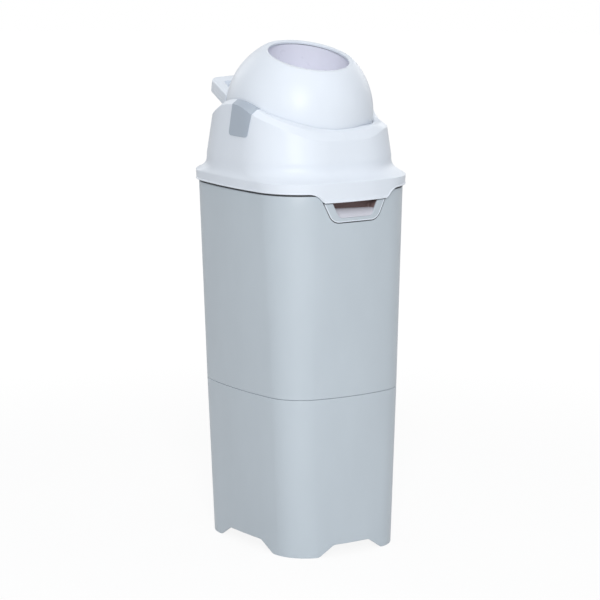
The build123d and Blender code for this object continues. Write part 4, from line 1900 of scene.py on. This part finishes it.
    def handle_layer(self, name: str, low: float, high: float) -> bpy.types.Object:
        """One moulding of the handle: a rounded plate with a slot, hollowed to sit on the ball.

        Args:
            name: name of the piece.
            low: height of its lower face over the parting plane.
            high: height of its upper face.

        Returns:
            The piece.
        """
        edge, sign = self.handle_edge, 1.0 if high > 0.0 else -1.0
        face = high if high > 0.0 else low
        joint = 0.0
        heights = [(0.35, joint + sign * 0.02), (0.0, joint + sign * 0.4)]
        heights += [(0.0, face - sign * edge)]
        for step in range(1, 7):
            turn = math.radians(90.0 * step / 6.0)
            heights.append(
                (edge * (1.0 - math.cos(turn)), face - sign * edge * (1.0 - math.sin(turn)))
            )
        rings = [self.handle_ring(inset, z) for inset, z in heights]
        piece = drawn_wall(name, rings, Join.CAPPED)
        (in_x, in_y), (out_x, out_y) = self.slot_root, self.slot_tip
        corners = [
            (-in_x, in_y, 0.0),
            (in_x, in_y, 0.0),
            (out_x, out_y, 7.0),
            (-out_x, out_y, 7.0),
        ]
        slot = rounded(corners, 8)
        tool = drawn_wall(
            "slot_tool",
            [[(x, y, z) for x, y in slot] for z in (low - 5.0, high + 5.0)],
            Join.CAPPED,
        )
        carve(piece, tool)
        soften(piece, 0.8, 3, 60.0)
        bpy.ops.object.select_all(action="DESELECT")
        bpy.ops.mesh.primitive_uv_sphere_add(
            segments=160, ring_count=80, radius=self.radius * MM, location=(0.0, 0.0, 0.0)
        )
        carve(piece, bpy.context.object)
        place = Matrix.Translation((0.0, AXIS_Y * MM, self.centre_z * MM))
        piece.data.transform(place @ Matrix.Rotation(math.radians(self.handle_tilt), 4, "X"))
        return piece

    def piston(self) -> bpy.types.Object:
        """The piston: a dished disc with a raised middle, a rim and two grooves.

        Returns:
            The piece.
        """
        radius = self.bore_r - self.piston_gap
        groove, band = radius - 1.6, 4.0
        height = self.piston_height
        mid = height / 2.0
        web = self.piston_wall / 2.0
        upper = [
            (radius - 0.5, height),
            (radius - 3.6, height),
            (radius - 4.2, height - 0.5),
            (radius - 4.2, mid + web + 3.0),
            (radius - 5.0, mid + web + 1.0),
            (radius - 7.2, mid + web),
            (30.0, mid + web - 0.2),
            (28.8, mid + web + 0.8),
            (27.0, mid + web + 1.2),
            (0.0, mid + web + 1.2),
        ]
        lower = [(r, height - z) for r, z in reversed(upper)]
        side = [
            (radius, 0.5),
            (radius, 4.0),
            (groove, 4.0),
            (groove, 4.0 + band),
            (radius, 4.0 + band),
            (radius, height - 4.0 - band),
            (groove, height - 4.0 - band),
            (groove, height - 4.0),
            (radius, height - 4.0),
            (radius, height - 0.5),
        ]
        piece = turned("piston_dished", upper + lower + side, 144)
        lift = Matrix.Translation((0.0, 0.0, (0.1 - self.tube_half) * MM))
        piece.data.transform(self.lean() @ lift)
        return piece

    def build(self) -> None:
        """Build and dress the drum, its handle and its piston."""
        made = (
            (self.half("drum_half_front", False), "drum_half_upper", Part.DRUM, HEAD_WHITE),
            (self.half("drum_half_back", True), "drum_half_lower", Part.DRUM, HEAD_WHITE),
            (self.cylinder(), "drum_cylinder", Part.DRUM, BORE_LAVENDER),
            (self.handle_layer("handle_top", 0.0, self.handle_above), "handle_upper", Part.DRUM, HEAD_WHITE),
            (self.handle_layer("handle_under", -self.handle_below, 0.0), "handle_lower", Part.DRUM, HEAD_WHITE),
            (self.piston(), "piston_disc", Part.PISTON, HEAD_WHITE),
            # Dark rubber rings under the lips: painted shade lines.
            (self.mouth_shade_ring("mouth_shade_ring_front", False), None, Part.DRUM, RUBBER),
            (self.mouth_shade_ring("mouth_shade_ring_back", True), None, Part.DRUM, RUBBER),
        )
        for piece, node, body, finish in made:
            smooth(piece)
            self.paint.coat(piece, finish)
            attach(piece, body.value)
            if node is not None:
                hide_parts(node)
            LOG.info("drum: %s, %d faces", piece.name, len(piece.data.polygons))


# ---- the frame's own nodes ---------------------------------------------------------------------------


@dataclass
class FrameNodes:
    """The CAD nodes that stay in view, with a finish for each."""

    paint: Paintshop
    finishes: dict[str, Finish] = field(
        default_factory=lambda: {
            "hinge_bracket_left": TUB_GREY,
            "hinge_bracket_right": TUB_GREY,
            "bracket_screws": STEEL,
            "hinge_pin_left": STEEL,
            "hinge_pin_right": STEEL,
            "cap_screws": STEEL,
            "handle_screws": STEEL,
            "side_plate": PLATE_GREY,
            "head_gasket": RUBBER,
            "drum_seal": RUBBER,
            "bearing_cap_left": HEAD_WHITE,
            "bearing_cap_right": HEAD_WHITE,
            "axle_bush_left": BUSH_WHITE,
            "axle_bush_right": BUSH_WHITE,
            "axle_stub_left": BUSH_WHITE,
            "axle_stub_right": BUSH_WHITE,
            "piston_wiper_lower": RUBBER,
            "piston_wiper_upper": RUBBER,
        }
    )

    def dress(self, nodes: dict[str, bpy.types.Object]) -> None:
        """Give each node its finish.

        Args:
            nodes: the frame's nodes by name.
        """
        for name, finish in self.finishes.items():
            self.paint.coat(nodes[name], finish)
            LOG.info("kept: %s, %s", name, finish.name)


# ---- studio ----------------------------------------------------------------------------------------


@dataclass(frozen=True)
class Lamp:
    """One soft box, in metres, aimed at a point on the bin's axis."""

    name: str
    place: Point
    width: float
    height: float
    power: float
    aim_z: float = 0.36


@dataclass
class Studio:
    """White room: camera, pale floor, soft boxes and a bright world."""

    camera_place: Point = (-2.2749, -3.2915, 1.0629)
    camera_turn: Point = (79.8595, -0.2654, -34.6525)
    lens: float = 168.056
    sensor: float = 36.0
    world_strength: float = 0.21
    lamps: tuple[Lamp, ...] = (
        Lamp("key", (-2.35, -3.55, 2.35), 1.0, 2.0, 134.0),
        Lamp("top", (0.1, -0.2, 3.2), 2.4, 2.4, 26.0),
        Lamp("fill", (3.0, -2.4, 1.6), 1.8, 1.8, 3.0),
        Lamp("rear", (-0.3, 3.9, 2.0), 2.0, 2.0, 22.0),
        Lamp("rear_right", (3.2, 1.7, 1.8), 1.8, 1.8, 15.0),
    )
    floor_half: float = 9.0
    shade_near: float = 0.88
    shade_reach: Plan = (0.55, 1.7)
    glow: float = 1.02

    def camera(self) -> None:
        """Place the camera."""
        data = bpy.data.cameras.new("camera")
        data.lens = self.lens
        data.sensor_width = self.sensor
        camera = bpy.data.objects.new("camera", data)
        camera.location = self.camera_place
        camera.rotation_euler = Euler([math.radians(a) for a in self.camera_turn])
        bpy.context.scene.collection.objects.link(camera)
        bpy.context.scene.camera = camera

    def floor(self) -> None:
        """Lay the floor: a wide pale disc that looks white and keeps the shadow near the bin."""
        bpy.ops.object.select_all(action="DESELECT")
        bpy.ops.mesh.primitive_circle_add(
            vertices=96, radius=self.floor_half, fill_type="NGON", location=(0.0, 0.0, 0.0)
        )
        floor = bpy.context.object
        floor.name = "floor"
        with editing(floor):
            bpy.ops.mesh.select_all(action="SELECT")
            bpy.ops.mesh.inset(thickness=self.floor_half * 0.7)
        floor.data.materials.append(self.floor_finish())
        floor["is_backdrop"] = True

    def floor_finish(self) -> bpy.types.Material:
        """White paper, which glows for the rays that see it, and fully so away from the bin.

        Returns:
            The material.
        """
        material = bpy.data.materials.new("floor_white")
        material.use_nodes = True
        tree = material.node_tree
        tree.nodes.clear()
        output = tree.nodes.new("ShaderNodeOutputMaterial")
        paper = tree.nodes.new("ShaderNodeBsdfDiffuse")
        paper.inputs["Color"].default_value = (0.9, 0.9, 0.9, 1.0)
        glow = tree.nodes.new("ShaderNodeEmission")
        glow.inputs["Strength"].default_value = self.glow
        place = tree.nodes.new("ShaderNodeTexCoord")
        reach = tree.nodes.new("ShaderNodeVectorMath")
        reach.operation = "LENGTH"
        tree.links.new(place.outputs["Object"], reach.inputs[0])
        fade = tree.nodes.new("ShaderNodeMapRange")
        fade.interpolation_type = "SMOOTHSTEP"
        fade.inputs["From Min"].default_value = self.shade_reach[0]
        fade.inputs["From Max"].default_value = self.shade_reach[1]
        fade.inputs["To Min"].default_value = self.shade_near
        fade.inputs["To Max"].default_value = 1.0
        tree.links.new(reach.outputs["Value"], fade.inputs["Value"])
        part = tree.nodes.new("ShaderNodeMath")
        part.operation = "MULTIPLY"
        tree.links.new(seen_rays(tree), part.inputs[0])
        tree.links.new(fade.outputs["Result"], part.inputs[1])
        share = tree.nodes.new("ShaderNodeMixShader")
        tree.links.new(part.outputs[0], share.inputs["Fac"])
        tree.links.new(paper.outputs[0], share.inputs[1])
        tree.links.new(glow.outputs[0], share.inputs[2])
        tree.links.new(share.outputs[0], output.inputs["Surface"])
        return material

    def world(self) -> None:
        """Light the room evenly and show it white."""
        world = bpy.data.worlds.new("white_room")
        bpy.context.scene.world = world
        world.use_nodes = True
        tree = world.node_tree
        tree.nodes.clear()
        output = tree.nodes.new("ShaderNodeOutputWorld")
        soft = tree.nodes.new("ShaderNodeBackground")
        soft.inputs["Color"].default_value = (0.93, 0.96, 1.0, 1.0)
        soft.inputs["Strength"].default_value = self.world_strength
        white = tree.nodes.new("ShaderNodeBackground")
        white.inputs["Color"].default_value = (1.0, 1.0, 1.0, 1.0)
        white.inputs["Strength"].default_value = 1.0
        share = tree.nodes.new("ShaderNodeMixShader")
        tree.links.new(seen_rays(tree), share.inputs["Fac"])
        tree.links.new(soft.outputs[0], share.inputs[1])
        tree.links.new(white.outputs[0], share.inputs[2])
        tree.links.new(share.outputs[0], output.inputs["Surface"])

    def light(self) -> None:
        """Hang the soft boxes."""
        for lamp in self.lamps:
            data = bpy.data.lights.new(lamp.name, "AREA")
            data.shape = "RECTANGLE"
            data.size, data.size_y = lamp.width, lamp.height
            data.energy = lamp.power
            box = bpy.data.objects.new(lamp.name, data)
            box.location = lamp.place
            aim = Vector((0.0, 0.0, lamp.aim_z)) - Vector(lamp.place)
            box.rotation_euler = aim.to_track_quat("-Z", "Y").to_euler()
            bpy.context.scene.collection.objects.link(box)

    def build(self) -> None:
        """Set up the studio."""
        self.camera()
        self.floor()
        self.world()
        self.light()
        bpy.context.scene.view_settings.view_transform = "Standard"
        LOG.info("studio: %d lamps", len(self.lamps))


def seen_rays(tree: bpy.types.NodeTree) -> bpy.types.NodeSocket:
    """One for rays from the camera, from gloss and through glass, nought for the rest.

    Args:
        tree: the node tree.

    Returns:
        The value.
    """
    path = tree.nodes.new("ShaderNodeLightPath")
    first = tree.nodes.new("ShaderNodeMath")
    second = tree.nodes.new("ShaderNodeMath")
    for node in (first, second):
        node.operation = "MAXIMUM"
    tree.links.new(path.outputs["Is Camera Ray"], first.inputs[0])
    tree.links.new(path.outputs["Is Glossy Ray"], first.inputs[1])
    tree.links.new(first.outputs[0], second.inputs[0])
    tree.links.new(path.outputs["Is Transmission Ray"], second.inputs[1])
    return second.outputs[0]


def corners(box: tuple[Vector, Vector]) -> list[list[float]]:
    """A box's two corners as plain lists of numbers."""
    return [[float(value) for value in corner] for corner in box]


def main() -> None:
    """Build the nappy bin round its frame."""
    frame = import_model()
    cad_box = corners(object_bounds())
    Studio().build()
    paint = Paintshop()
    tub = Tub(paint)
    tub.build()
    Head(paint, tub).build()
    Drum(paint).build()
    FrameNodes(paint).dress(frame["nodes"])
    sizes = {"cad": cad_box, "visual": corners(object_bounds())}
    LOG.info("sizes: %s", sizes)


if __name__ == "__main__":
    main()
